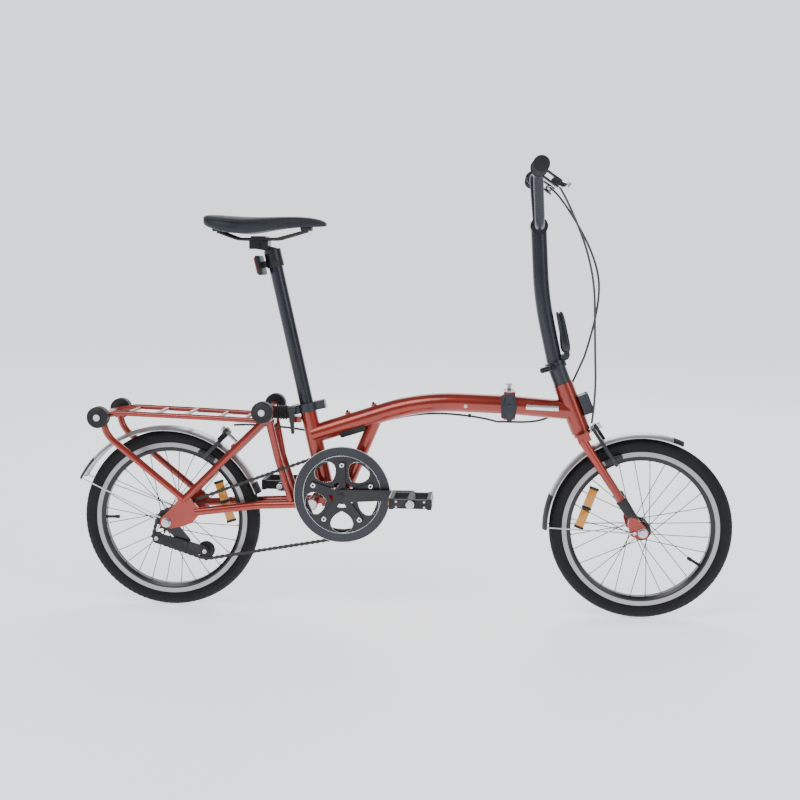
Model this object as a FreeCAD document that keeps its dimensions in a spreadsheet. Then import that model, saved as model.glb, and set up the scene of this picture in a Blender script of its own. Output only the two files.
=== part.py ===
import FreeCAD, Part
import math
import os
import re
import Sketcher
from FreeCAD import Placement, Rotation, Vector

# Folding bicycle, drive side on -Y. While it is built, X runs forward from the rear axle, Y to the
# rider's left and Z up from the ground. At the end every piece is moved so that the origin lies on
# the ground under the middle of the bicycle.

SIZES = {
    # wheels
    "wheelbase": 1098, "tyre_radius": 210, "tyre_width": 35, "tyre_wall": 3, "bead_radius": 174.6,
    "rim_flange_radius": 180.5, "rim_width": 24, "rim_inner_radius": 160, "rim_wall": 2,
    "spoke_radius": 0.9, "spoke_count": 28, "hub_flange_radius": 22, "hub_barrel_radius": 13,
    "front_hub_width": 70, "rear_hub_width": 78, "axle_radius": 5, "front_axle_width": 90,
    "rear_axle_width": 112, "running_gap": 0.05,
    # fenders
    "fender_half_width": 23, "fender_wall": 1.6, "front_fender_radius": 224, "rear_fender_radius": 238,
    # front half of the frame and the fold joint
    "frame_tube_radius": 22, "frame_tube_wall": 1.8, "hinge_x": 791, "hinge_z": 493,
    "hinge_pin_y": 38, "hinge_pin_radius": 5, "hinge_flange": 13, "hinge_tall": 66, "hinge_gap": 0.6,
    "head_tube_radius": 22.5, "head_tube_length": 105, "head_bore_radius": 17.5,
    "steerer_radius": 14.3, "steering_tilt": 21.8, "steering_foot_x": 1046,
    # seat tube, bottom bracket and cranks
    "seat_tube_radius": 19, "seat_tilt": 12.8, "seatpost_radius": 15.9, "seatpost_wall": 2,
    "seatpost_length": 525, "bracket_x": 410, "bracket_z": 283, "bracket_radius": 21,
    "bracket_width": 68, "bracket_bore": 17, "spindle_radius": 8.5, "crank_length": 165,
    "crank_tilt": 2, "crank_face": 58, "crank_thick": 12, "pedal_length": 94, "pedal_width": 92,
    "pedal_thick": 24, "chain_pitch": 12.7, "chainring_teeth": 50, "sprocket_teeth": 13,
    "chain_line": 44, "chain_half_height": 4, "chain_half_width": 2.9, "guard_radius": 112,
    "boss_spacing": 64, "boss_hole_radius": 2.5, "boss_radius": 6.5,
    # rear triangle
    "pivot_x": 338, "pivot_z": 256, "pivot_lug_radius": 13.5, "pivot_pin_radius": 8,
    "pivot_lug_half": 21, "stay_radius": 8.5, "chainstay_radius": 9.5, "strut_radius": 8,
    "rail_radius": 6, "dropout_thick": 7, "roller_radius": 24.5, "roller_width": 24,
    "roller_y": 88, "front_roller_x": 232, "front_roller_z": 476, "rear_roller_x": -148,
    "rear_roller_z": 458, "roller_bolt_radius": 4,
    # fork, handlepost and bar
    "fork_leg_radius": 11, "fork_tip_radius": 8, "post_radius": 18,
    "bar_radius": 11.1, "bar_half": 300, "bar_z": 1018,
    "grip_radius": 17.5, "grip_length": 122, "cable_radius": 2.5,
}

doc = FreeCAD.newDocument("folding_bicycle")
sheet = doc.addObject("Spreadsheet::Sheet", "Sizes")


def fill_sheet():
    """One cell per driving size, with its name beside it as the alias."""
    for row, (alias, value) in enumerate(SIZES.items(), start=1):
        sheet.set("A%d" % row, alias)
        sheet.set("B%d" % row, str(value))
        sheet.setAlias("B%d" % row, alias)
    doc.recompute()


fill_sheet()


def size(alias):
    return float(sheet.get(alias))


def linked(text):
    """An expression in which every size name points at its cell."""
    return re.sub(r"[a-z_]+", lambda m: "Sizes." + m[0] if m[0] in SIZES else m[0], str(text))


def bind(item, prop, text):
    item.setExpression(prop, linked(text))


# ---------------------------------------------------------------- places and directions

X, Y, Z = Vector(1, 0, 0), Vector(0, 1, 0), Vector(0, 0, 1)
SIDES = (("right", -1), ("left", 1))


def tilted(angle):
    """Unit vector that leans back from straight up by an angle in degrees."""
    lean = math.radians(angle)
    return Vector(-math.sin(lean), 0, math.cos(lean))


def rotation(u, v):
    """The turn that takes X to u and Y to v."""
    return Rotation(u, v, u.cross(v), "ZXY")


REAR_AXLE = Vector(0, 0, size("tyre_radius"))
FRONT_AXLE = REAR_AXLE + X * size("wheelbase")
BRACKET = Vector(size("bracket_x"), 0, size("bracket_z"))
PIVOT = Vector(size("pivot_x"), 0, size("pivot_z"))
STEER_UP = tilted(size("steering_tilt"))
STEER_FORWARD = Y.cross(STEER_UP)
STEER_FOOT = Vector(size("steering_foot_x"), 0, size("tyre_radius"))
SEAT_UP = tilted(size("seat_tilt"))
SEAT_TOP = Vector(324.8, 0, 468)
HINGE = Vector(size("hinge_x"), 0, size("hinge_z"))


def on_steering(z):
    """Point of the steering axis at a height."""
    return STEER_FOOT + STEER_UP * ((z - STEER_FOOT.z) / STEER_UP.z)


def on_seat(z):
    """Point of the seat tube's axis at a height."""
    return SEAT_TOP + SEAT_UP * ((z - SEAT_TOP.z) / SEAT_UP.z)


# ---------------------------------------------------------------- building blocks

def cylinder(name, radius, length, base, direction):
    """Round bar from a base point; its radius and length are expressions."""
    bar = doc.addObject("Part::Cylinder", name)
    bind(bar, "Radius", radius)
    bind(bar, "Height", length)
    bar.Placement = Placement(base, Rotation(Z, direction))
    return bar


def rod(name, radius, start, end):
    """Round bar between two points."""
    return cylinder(name, radius, round((end - start).Length, 6), start, end - start)


def across(name, radius, half, centre):
    """Round bar along Y, centred on a point."""
    return cylinder(name, radius, "2 * (%s)" % half, centre - Y * value("2 * (%s)" % half) / 2, Y)


def taper(name, radius, end_radius, start, end):
    cone = doc.addObject("Part::Cone", name)
    bind(cone, "Radius1", radius)
    bind(cone, "Radius2", end_radius)
    cone.Height = (end - start).Length
    cone.Placement = Placement(start, Rotation(Z, end - start))
    return cone


def block(name, lengths, centre, turn=Rotation()):
    """Box with three expressions for its lengths, centred on a point."""
    box = doc.addObject("Part::Box", name)
    for prop, text in zip(("Length", "Width", "Height"), lengths):
        bind(box, prop, text)
    half = Vector(*[value(text) / 2 for text in lengths])
    box.Placement = Placement(centre - turn.multVec(half), turn)
    return box


def value(text):
    """What an expression of sizes comes to."""
    return float(sheet.evalExpression(linked(text)))


def bent_wire(points, bend):
    """Straight runs joined by tangent arcs of the given radius, or as large as the runs allow."""
    edges = []
    start = points[0]
    for before, corner, after in zip(points, points[1:], points[2:]):
        back = (before - corner).normalize()
        ahead = (after - corner).normalize()
        half_turn = (math.pi - back.getAngle(ahead)) / 2
        reach = 0.45 * min((before - corner).Length, (after - corner).Length)
        radius = min(bend, reach / math.tan(half_turn))
        setback = radius * math.tan(half_turn)
        first = corner + back * setback
        last = corner + ahead * setback
        bisector = (back + ahead).normalize()
        middle = corner + bisector * (radius / math.cos(half_turn) - radius)
        edges.append(Part.LineSegment(start, first).toShape())
        edges.append(Part.Arc(first, middle, last).toShape())
        start = last
    edges.append(Part.LineSegment(start, points[-1]).toShape())
    return Part.Wire(edges)


def tube(name, radius, points, bend=1000):
    """Round bar swept along straight runs and arcs."""
    path = doc.addObject("Part::Feature", name + "_path")
    path.Shape = bent_wire(points, bend)
    ring = doc.addObject("Part::Circle", name + "_section")
    bind(ring, "Radius", radius)
    ring.Placement = Placement(points[0], Rotation(Z, points[1] - points[0]))
    sweep = doc.addObject("Part::Sweep", name)
    sweep.Sections = [ring]
    sweep.Spine = (path, ["Edge%d" % (i + 1) for i in range(len(path.Shape.Edges))])
    sweep.Solid = True
    return sweep


def fuse(label, pieces):
    whole = doc.addObject("Part::MultiFuse", label)
    whole.Shapes = pieces
    whole.Refine = True
    return whole


def cut(label, base, tools):
    """The base with the tools taken out of it."""
    tool = tools[0]
    if len(tools) > 1:
        tool = fuse(label + "_tools", tools)
    left = doc.addObject("Part::Cut", label)
    left.Base = base
    left.Tool = tool
    left.Refine = True
    return left


def closed_shape(label, shape):
    """A piece whose solid comes from Part's own functions."""
    piece = doc.addObject("Part::Feature", label)
    piece.Shape = shape
    return piece


def origin_plane(body, role):
    return [item for item in body.Origin.OriginFeatures if item.Role == role][0]


def lock(sketch, edge, corner, horizontal, vertical):
    """Ties one end of an edge to the sketch's origin by two expressions."""
    for kind, text in (("DistanceX", horizontal), ("DistanceY", vertical)):
        number = value(text)
        index = sketch.addConstraint(Sketcher.Constraint(kind, -1, 1, edge, corner, number))
        sketch.setExpression("Constraints[%d]" % index, linked(text))


def draw_outline(sketch, outline):
    """Closed outline. A corner is (u, v); (u, v, radius, side) is reached by an arc under half a
    turn whose centre lies on the left (1) or the right (-1) of the way."""
    places = [Vector(value(corner[0]), value(corner[1]), 0) for corner in outline]
    for index, corner in enumerate(outline):
        start, end = places[index - 1], places[index]
        if len(corner) == 2:
            edge = sketch.addGeometry(Part.LineSegment(start, end), False)
        else:
            radius, side = value(corner[2]), corner[3]
            chord = end - start
            rise = math.sqrt(max(radius ** 2 - chord.Length ** 2 / 4, 0))
            left = Vector(-chord.y, chord.x, 0).normalize()
            centre = (start + end) / 2 + left * rise * side
            first, last = (start - centre, end - centre) if side > 0 else (end - centre, start - centre)
            first_angle = math.atan2(first.y, first.x)
            sweep = (math.atan2(last.y, last.x) - first_angle) % (2 * math.pi)
            arc = Part.ArcOfCircle(Part.Circle(centre, Z, radius), first_angle, first_angle + sweep)
            edge = sketch.addGeometry(arc, False)
            held = sketch.addConstraint(Sketcher.Constraint("Radius", edge, radius))
            sketch.setExpression("Constraints[%d]" % held, linked(corner[2]))
        last_end = 1 if len(corner) > 2 and corner[3] < 0 else 2
        lock(sketch, edge, last_end, corner[0], corner[1])
        lock(sketch, edge, 3 - last_end, outline[index - 1][0], outline[index - 1][1])


def draw_circle(sketch, horizontal, vertical, radius):
    centre = Vector(value(horizontal), value(vertical), 0)
    edge = sketch.addGeometry(Part.Circle(centre, Z, value(radius)), False)
    lock(sketch, edge, 3, horizontal, vertical)
    held = sketch.addConstraint(Sketcher.Constraint("Radius", edge, value(radius)))
    sketch.setExpression("Constraints[%d]" % held, linked(radius))


def sketched(body, name, role, outline, holes=()):
    sketch = body.newObject("Sketcher::SketchObject", name)
    sketch.AttachmentSupport = [(origin_plane(body, role), "")]
    sketch.MapMode = "FlatFace"
    draw_outline(sketch, outline)
    for hole in holes:
        draw_circle(sketch, *hole)
    return sketch


def turned(label, outline, centre, axis=Y):
    """Turned piece: the outline is (radius, place along the axis)."""
    body = doc.addObject("PartDesign::Body", label)
    sketch = sketched(body, label + "_profile", "XZ_Plane", outline)
    spin = body.newObject("PartDesign::Revolution", label + "_turn")
    spin.Profile = sketch
    spin.ReferenceAxis = (sketch, ["V_Axis"])
    spin.Angle = 360
    body.Tip = spin
    body.Placement = Placement(centre, Rotation(Z, axis))
    return body


def plate(label, outline, thick, place, turn, corner=None, holes=()):
    """Flat piece: the outline is padded along the third direction, its corners rounded."""
    body = doc.addObject("PartDesign::Body", label)
    sketch = sketched(body, label + "_outline", "XY_Plane", outline, holes)
    pad = body.newObject("PartDesign::Pad", label + "_pad")
    pad.Profile = sketch
    bind(pad, "Length", thick)
    body.Tip = pad
    if corner:
        doc.recompute()
        upright = []
        for index, edge in enumerate(pad.Shape.Edges, start=1):
            straight = edge.Curve.TypeId == "Part::GeomLine"
            if straight and abs(edge.tangentAt(edge.FirstParameter).z) > 0.99:
                upright.append("Edge%d" % index)
        rounding = body.newObject("PartDesign::Fillet", label + "_corners")
        rounding.Base = (pad, upright)
        bind(rounding, "Radius", corner)
        body.Tip = rounding
    body.Placement = Placement(place, turn)
    return body


SIDE_VIEW = rotation(X, Z)      # a plate seen from the drive side, padded towards -Y


SUB_PARTS = []


def named(piece, label):
    """Makes the piece one of the exported sub-parts."""
    piece.Label = label
    SUB_PARTS.append(piece)
    return piece




# ---------------------------------------------------------------- wheels

def tyre(label, axle):
    """Hollow clincher section, open towards the rim, with its beads inside the rim's walls."""
    outer, inner = "tyre_width / 2", "tyre_width / 2 - tyre_wall"
    shoulder = "rim_flange_radius + 0.4"
    bead = "rim_width / 2 - rim_wall - 0.1"
    drop = "(tyre_radius - tyre_width / 2 - rim_flange_radius - 0.4)"
    outer_reach = "sqrt((%s) ^ 2 - %s ^ 2)" % (outer, drop)
    inner_reach = "sqrt((%s) ^ 2 - %s ^ 2)" % (inner, drop)
    outline = [
        (shoulder, outer_reach), ("tyre_radius", "0", outer, -1),
        (shoulder, "-" + outer_reach, outer, -1), (shoulder, "-(%s)" % bead),
        ("bead_radius", "-(%s)" % bead), ("bead_radius", "2.6 - (%s)" % bead),
        (shoulder, "-" + inner_reach), ("tyre_radius - tyre_wall", "0", inner, 1),
        (shoulder, inner_reach, inner, 1), ("bead_radius", "(%s) - 2.6" % bead),
        ("bead_radius", bead), (shoulder, bead),
    ]
    return named(turned(label, outline, axle), label)


def rim(label, axle):
    """Channel rim with brake tracks and a closed bed under the tyre."""
    half, wall = "rim_width / 2", "rim_width / 2 - rim_wall"
    outline = [
        ("rim_flange_radius", half), ("rim_flange_radius", wall), ("rim_flange_radius - 8", wall),
        ("rim_flange_radius - 8", "-(%s)" % wall), ("rim_flange_radius", "-(%s)" % wall),
        ("rim_flange_radius", "-" + half), ("rim_inner_radius + 6", "-" + half),
        ("rim_inner_radius", "4 - " + half), ("rim_inner_radius", half + " - 4"),
        ("rim_inner_radius + 6", half),
    ]
    return named(turned(label, outline, axle), label)


def hub(label, axle, width):
    """Flanged hub shell, bored for its axle."""
    half = width + " / 2"
    bore = "axle_radius + running_gap"
    outline = [
        (bore, "-" + half), ("9", "-" + half), ("hub_barrel_radius", "6 - " + half),
        ("hub_flange_radius", "8 - " + half), ("hub_flange_radius", "11.5 - " + half),
        ("hub_barrel_radius", "16 - " + half), ("hub_barrel_radius", half + " - 16"),
        ("hub_flange_radius", half + " - 11.5"), ("hub_flange_radius", half + " - 8"),
        ("hub_barrel_radius", half + " - 6"), ("9", half), (bore, half),
    ]
    return named(turned(label, outline, axle), label)


def spokes(label, axle, width):
    """Straight spokes laced in crossing pairs from the flanges to the rim."""
    count = int(size("spoke_count"))
    start_radius = size("hub_flange_radius") - 3
    end_radius = size("rim_inner_radius") + 0.6
    flange = value(width) / 2 - 9.75
    bars = []
    for index in range(count):
        rim_angle = 2 * math.pi * (index + 0.5) / count
        side = 1 if index % 2 else -1
        lean = 1 if index % 4 < 2 else -1
        hub_angle = rim_angle + lean * math.radians(62)
        start = Vector(math.cos(hub_angle) * start_radius, side * flange, math.sin(hub_angle) * start_radius)
        end = Vector(math.cos(rim_angle) * end_radius, side * 2, math.sin(rim_angle) * end_radius)
        bars.append(rod("%s_%d" % (label, index), "spoke_radius", axle + start, axle + end))
    group = doc.addObject("Part::Compound", label)
    group.Links = bars
    return named(group, label)


def axle_set(label, centre, width, reach):
    """Solid axle with a nut and washer on each end."""
    bar = across(label + "_bar", "axle_radius", "%s / 2 + %s" % (width, reach), centre)
    pieces = [bar]
    for side_name, side in SIDES:
        seat = centre + Y * side * value("%s / 2 + dropout_thick + 0.2" % width)
        pieces.append(cylinder(label + "_washer_" + side_name, "11", "1.6", seat, Y * side))
        nut_seat = seat + Y * side * 1.6
        pieces.append(cylinder(label + "_nut_" + side_name, "8.5", "9", nut_seat, Y * side))
    return fuse(label, pieces)


def build_wheels():
    tyre("front_tyre", FRONT_AXLE)
    rim("front_rim", FRONT_AXLE)
    hub("front_hub", FRONT_AXLE, "front_hub_width")
    spokes("front_spokes", FRONT_AXLE, "front_hub_width")
    tyre("rear_tyre", REAR_AXLE)
    rim("rear_rim", REAR_AXLE)
    hub("rear_hub", REAR_AXLE, "rear_hub_width")
    spokes("rear_spokes", REAR_AXLE, "rear_hub_width")


def fender(label, centre, radius, first, last):
    """Thin curved band over a tyre, from one angle to another, counted from straight ahead."""
    half, wall, rise = size("fender_half_width"), size("fender_wall"), 9
    outer = size(radius)
    inner = outer - wall
    section = [Vector(outer - rise, -half, 0), Vector(outer, 0, 0), Vector(outer - rise, half, 0),
               Vector(inner - rise, half, 0), Vector(inner, 0, 0), Vector(inner - rise, -half, 0)]
    places = [Vector(p.x, p.y, 0) for p in section]
    wire = Part.Wire([Part.Arc(places[0], places[1], places[2]).toShape(),
                      Part.LineSegment(places[2], places[3]).toShape(),
                      Part.Arc(places[3], places[4], places[5]).toShape(),
                      Part.LineSegment(places[5], places[0]).toShape()])
    band = Part.Face(wire).revolve(Vector(), Y, last - first)
    piece = closed_shape(label, band)
    piece.Placement = Placement(centre, Rotation(Y, 180) * Rotation(Y, 180 - last))
    return piece


# ---------------------------------------------------------------- main frame

TUBE_START = Vector(335, 0, 415)
TUBE_BEND = Vector(590, 0, 499)
TUBE_RUN = (TUBE_BEND - TUBE_START).normalize()
TUBE_UP = Y.cross(TUBE_RUN) * -1
HALF_GAP = size("hinge_gap") / 2


def hinge_half(label, side, knuckles):
    """Flange on one side of the fold line with its knuckles for the pin (side -1 is the rear)."""
    reach = size("hinge_flange")
    outer_face = HINGE + X * side * HALF_GAP
    start = outer_face - X * (reach if side < 0 else 0)
    flange = plate(label + "_flange", [("-33", "-hinge_tall / 2"), ("hinge_pin_y - 12", "-hinge_tall / 2"),
                                       ("hinge_pin_y - 12", "hinge_tall / 2"), ("-33", "hinge_tall / 2")],
                   "hinge_flange", start, rotation(Y, Z), "9")
    pieces = [flange]
    for low, high in knuckles:
        base = HINGE + Y * size("hinge_pin_y") + Z * low
        pieces.append(cylinder(label + "_knuckle", "hinge_pin_radius + 4.5", high - low, base, Z))
        arm_centre = start + X * reach / 2 + Y * (size("hinge_pin_y") - 9) + Z * (low + high) / 2
        pieces.append(block(label + "_arm", (reach, 18, high - low), arm_centre))
    return pieces


def hinge_bores(label):
    """What both flanges lose: the pin's bore and half of the clamp bolt's notch."""
    pin_base = HINGE + Y * size("hinge_pin_y") - Z * 60
    return [cylinder(label + "_pin_bore", "hinge_pin_radius + running_gap", 120, pin_base, Z),
            cylinder(label + "_notch", "5", "24", HINGE - Y * 36, Y)]


def build_main_frame():
    half = size("hinge_tall") / 2
    tube_end = HINGE - X * (HALF_GAP + 2)
    seat_low = on_seat(250)
    brace_top, brace_foot = Vector(482, 0, 453), BRACKET + Vector(4, 0, 8)
    pieces = [
        tube("main_tube", "frame_tube_radius", [TUBE_START, TUBE_BEND, tube_end]),
        rod("seat_tube", "seat_tube_radius", seat_low, on_seat(489)),
        rod("down_brace", "15", brace_top, brace_foot),
        across("bracket_shell", "bracket_radius", "bracket_width / 2", BRACKET),
        across("pivot_lug", "pivot_lug_radius", "pivot_lug_half", PIVOT),
        block("bracket_gusset", (52, 16, 20), Vector(382, 0, 278)),
        block("pivot_gusset", (30, 40, 14), Vector(352, 0, 262)),
        block("bellows_stop", (28, 30, 14), Vector(295, 0, 451)),
    ]
    pieces += hinge_half("rear_hinge", -1, ((-half, -18), (18, half)))
    tools = [
        rod("seat_bore", "seatpost_radius + running_gap", on_seat(200), on_seat(520)),
        across("bracket_bore", "bracket_bore", "bracket_width", BRACKET),
        across("pivot_bore", "pivot_pin_radius + running_gap", "pivot_lug_half * 2", PIVOT),
        tube("main_tube_inside", "frame_tube_radius - frame_tube_wall",
             [TUBE_START + TUBE_RUN * 60, TUBE_BEND, tube_end - X * 24]),
        block("seat_slot", (30, 3, 26), on_seat(480) - X * 22, Rotation(Y, -size("seat_tilt"))),
    ] + hinge_bores("rear_hinge")
    for number, along in enumerate((94, 94 + size("boss_spacing"))):
        foot = TUBE_START + TUBE_RUN * along + TUBE_UP * (size("frame_tube_radius") - 2)
        pieces.append(cylinder("boss_%d" % number, "boss_radius", 6, foot, TUBE_UP))
        tools.append(cylinder("boss_hole_%d" % number, "boss_hole_radius", 12, foot - TUBE_UP * 4, TUBE_UP))
    named(cut("main_frame", fuse("main_frame_body", pieces), tools), "main_frame")


def build_pins():
    """Hinge pin with its button head, and the rear pivot's pin with its two screw heads."""
    low = HINGE + Y * size("hinge_pin_y") - Z * 38
    pieces = [cylinder("hinge_pin_bar", "hinge_pin_radius", 80, low, Z),
              cylinder("hinge_pin_head", "8", 4, low + Z * 80, Z),
              across("pivot_pin_bar", "pivot_pin_radius", 40.7, PIVOT)]
    for side_name, side in SIDES:
        pieces.append(cylinder("pivot_head_" + side_name, "11.5", 1.8, PIVOT + Y * side * 40.7, Y * side))
    named(fuse("frame_pivot_pins", pieces), "frame_pivot_pins")


def build_seat_clamp():
    """Split collar on the seat tube's top with a nose in front and the clamp's ears behind."""
    turn = Rotation(Y, -size("seat_tilt"))
    height = 20
    low = on_seat(469.5)
    centre = low + SEAT_UP * height / 2
    pieces = [cylinder("clamp_ring", "seat_tube_radius + 6", height, low, SEAT_UP),
              block("clamp_nose", (30, 26, height), centre + turn.multVec(Vector(28, 0, 0)), turn),
              block("clamp_ears", (22, 44, height), centre + turn.multVec(Vector(-27, 0, 0)), turn)]
    tools = [rod("clamp_bore", "seat_tube_radius + 0.03", low - SEAT_UP * 30, low + SEAT_UP * 60),
             block("clamp_slot", (40, 4, 60), centre + turn.multVec(Vector(-32, 0, 0)), turn)]
    named(cut("seat_clamp", fuse("seat_clamp_body", pieces), tools), "seat_clamp")


CLAMP_PIVOT = Vector(290, -29.4, 478)


def build_seat_clamp_lever():
    """Cam with a lever that hangs down beside the clamp's ears."""
    blade = plate("clamp_blade", [("-8", "3"), ("8", "3"), ("6", "-40"), ("7", "-58"), ("-1", "-58"),
                                  ("-3", "-40")], 5, CLAMP_PIVOT - Y * 0.5, SIDE_VIEW, 2)
    cam = cylinder("clamp_cam", "6.5", 18, CLAMP_PIVOT - X * 9, X)
    named(fuse("seat_clamp_lever", [blade, cam]), "seat_clamp_lever")


# ---------------------------------------------------------------- seatpost and saddle

POST_BOTTOM = on_seat(328)
POST_TOP = POST_BOTTOM + SEAT_UP * size("seatpost_length")
SADDLE_MIDDLE = Vector(212, 0, 852)


def build_seatpost():
    post = rod("seatpost_outside", "seatpost_radius", POST_BOTTOM, POST_TOP)
    inside = rod("seatpost_inside", "seatpost_radius - seatpost_wall",
                 POST_BOTTOM - SEAT_UP, POST_TOP - SEAT_UP * 30)
    named(cut("seatpost", post, [inside]), "seatpost")
    arm = rod("clamp_socket", "seatpost_radius + 4", POST_TOP - SEAT_UP * 24, POST_TOP + SEAT_UP * 3)
    body = block("clamp_body", (44, 40, 20), SADDLE_MIDDLE + Z * 2)
    top_cap = block("clamp_cap", (34, 52, 9), SADDLE_MIDDLE + Z * 17)
    pin = across("clamp_screw", "4", 30, SADDLE_MIDDLE - Z * 2)
    tools = [rod("clamp_post_seat", "seatpost_radius + 0.02",
                 POST_TOP - SEAT_UP * 60, POST_TOP + SEAT_UP * 0.02)]
    tools += rail_bars("clamp_groove", "3.52")
    named(cut("saddle_clamp", fuse("saddle_clamp_body", [arm, body, top_cap, pin]), tools), "saddle_clamp")


def rail_bars(label, radius):
    """The two rails under the saddle."""
    bars = []
    for side_name, side in SIDES:
        points = [Vector(118, side * 30, 883), Vector(165, side * 22, 866), Vector(255, side * 22, 867),
                  Vector(322, side * 10, 886)]
        bars.append(tube("%s_%s" % (label, side_name), radius, points, 40))
    return bars


def build_saddle():
    named(fuse("saddle_rails", rail_bars("rail", "3.5")), "saddle_rails")
    stations = ((88, 46, 12, 902), (100, 62, 17, 903), (135, 75, 19, 903), (180, 66, 18, 902),
                (225, 40, 17, 902), (270, 26, 16, 902), (330, 21, 14, 901), (358, 14, 10, 900),
                (368, 6, 5, 899))
    rings = []
    for number, (x, half_width, half_height, z) in enumerate(stations):
        ring = doc.addObject("Part::Ellipse", "saddle_section_%d" % number)
        ring.MajorRadius = half_width
        ring.MinorRadius = half_height
        ring.Placement = Placement(Vector(x, 0, z), rotation(Y, Z))
        rings.append(ring)
    loft = doc.addObject("Part::Loft", "saddle")
    loft.Sections = rings
    loft.Solid = True
    named(loft, "saddle")


# ---------------------------------------------------------------- rear triangle

FRONT_ROLLER = Vector(size("front_roller_x"), 0, size("front_roller_z"))
REAR_ROLLER = Vector(size("rear_roller_x"), 0, size("rear_roller_z"))
BRIDGE = Vector(158, 0, 390)


def side_point(x, y, z, side):
    return Vector(x, y * side, z)


def rear_side(side_name, side):
    """Stays, strut, rack rail, dropout and pivot lug of one side."""
    def at(x, y, z):
        return side_point(x, y, z, side)

    lug_base = PIVOT + Y * side * (size("pivot_lug_half") + 0.3)
    outline = [("-15", "-8"), ("12", "-14"), ("40", "-8"), ("62", "1"), ("77", "20"), ("80", "32"),
               ("60", "54"), ("44", "64"), ("30", "56"), ("6", "28"), ("-13", "10")]
    dropout_face = REAR_AXLE + Y * side * value("rear_axle_width / 2")
    turn = rotation(X, Z) if side < 0 else rotation(X * -1, Z)
    if side > 0:
        outline = [("-(%s)" % u, v) for u, v in reversed(outline)]
    name = side_name + "_"
    return [
        tube(name + "chainstay", "chainstay_radius",
             [at(338, 31, 256), at(212, 31, 250), at(66, 59.5, 236)], 120),
        rod(name + "seat_stay", "stay_radius", at(40, 59.5, 264), at(232, 50, 455)),
        tube(name + "front_stay", "stay_radius", [at(290, 32, 262), at(258, 32, 360), at(238, 44, 455)], 60),
        tube(name + "strut", "strut_radius", [at(-148, 66, 458), at(-136, 64, 412), at(46, 59.5, 262)], 60),
        tube(name + "rail", "rail_radius",
             [at(236, 62, 452), at(100, 63, 458), at(-105, 64, 465), at(-147, 66, 458)], 40),
        cylinder(name + "lug", "pivot_lug_radius", 18.9, lug_base, Y * side),
        plate(name + "dropout", outline, "dropout_thick", dropout_face, turn, 4),
    ]


def build_rear_frame():
    top = Vector(238, 0, 455)
    pieces = [across("top_cross", "8.5", 66, top),
              across("front_roller_tube", "7", 75, FRONT_ROLLER),
              across("rear_roller_tube", "7", 75, REAR_ROLLER),
              across("brake_bridge", "7", 53, BRIDGE)]
    for number, x in enumerate((-92, -24, 48, 122, 186)):
        pieces.append(across("rack_bar_%d" % number, "4.5", 66, Vector(x, 0, 462 if x < 100 else 456)))
    for side_name, side in SIDES:
        pieces += rear_side(side_name, side)
        pieces.append(block(side_name + "_roller_ear", (15, 7, 34), side_point(234, 62, 466, side)))
    pieces.append(block("bellows_seat", (7, 34, 44), Vector(243, 0, 461)))
    tools = [across("rear_pivot_bore", "pivot_pin_radius + running_gap", 60, PIVOT),
             across("rear_axle_bore", "axle_radius + 0.05", 90, REAR_AXLE),
             across("front_roller_bore", "roller_bolt_radius", 90, FRONT_ROLLER),
             across("rear_roller_bore", "roller_bolt_radius", 90, REAR_ROLLER),
             rod("rear_brake_bore", "4.03", BRIDGE - REAR_BRAKE_OUT * 20, BRIDGE + REAR_BRAKE_OUT * 20)]
    named(cut("rear_frame", fuse("rear_frame_body", pieces), tools), "rear_frame")


def build_rollers():
    """Easy wheels beside the rack, each pair on its own bolts."""
    for place_name, centre in (("front", FRONT_ROLLER), ("rear", REAR_ROLLER)):
        pair = []
        for side_name, side in SIDES:
            half = "roller_width / 2"
            outline = [("roller_bolt_radius + running_gap", "-" + half), ("roller_radius - 2", "-" + half),
                       ("roller_radius", "2 - " + half), ("roller_radius", half + " - 2"),
                       ("roller_radius - 2", half), ("roller_bolt_radius + running_gap", half)]
            middle = centre + Y * side * size("roller_y")
            pair.append(turned("%s_roller_%s" % (place_name, side_name), outline, middle))
        named(fuse(place_name + "_rollers", pair), place_name + "_rollers")


def build_rear_fasteners():
    """Rear axle with its nuts, the rollers' bolts and the brake's bolt."""
    pieces = [axle_set("rear_axle", REAR_AXLE, "rear_axle_width", "dropout_thick + 12")]
    for name, centre in (("front", FRONT_ROLLER), ("rear", REAR_ROLLER)):
        reach = value("roller_y + roller_width / 2 + 0.4")
        pieces.append(across(name + "_roller_bolt", "roller_bolt_radius", reach, centre))
        for side_name, side in SIDES:
            pieces.append(cylinder("%s_roller_head_%s" % (name, side_name), "7.5", 3,
                                   centre + Y * side * reach, Y * side))
    pieces.append(rod("rear_brake_bolt", "4", BRIDGE - REAR_BRAKE_OUT * 12, BRIDGE + REAR_BRAKE_OUT * 51))
    pieces.append(rod("rear_brake_nut", "7", BRIDGE + REAR_BRAKE_OUT * 47, BRIDGE + REAR_BRAKE_OUT * 53))
    named(fuse("rear_fasteners", pieces), "rear_fasteners")


def build_bellows():
    """Rubber spring between the rear triangle and the seat tube, with round folds."""
    length, folds = 33, 5
    step = length / folds
    outline = [("5", "0"), ("14", "0")]
    for number in range(folds):
        outline.append(("17.5", str(step * (number + 0.5))))
        outline.append(("14", str(step * (number + 1))))
    outline.append(("5", str(length)))
    named(turned("suspension_bellows", outline, Vector(246.8, 0, 466), X), "suspension_bellows")


# ---------------------------------------------------------------- brakes

FRONT_BRAKE_OUT = Vector(0.83, 0, 0.558).normalize()
REAR_BRAKE_OUT = Vector(-0.72, 0, 0.69).normalize()
CROWN = Vector(957, 0, 421.5)


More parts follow.
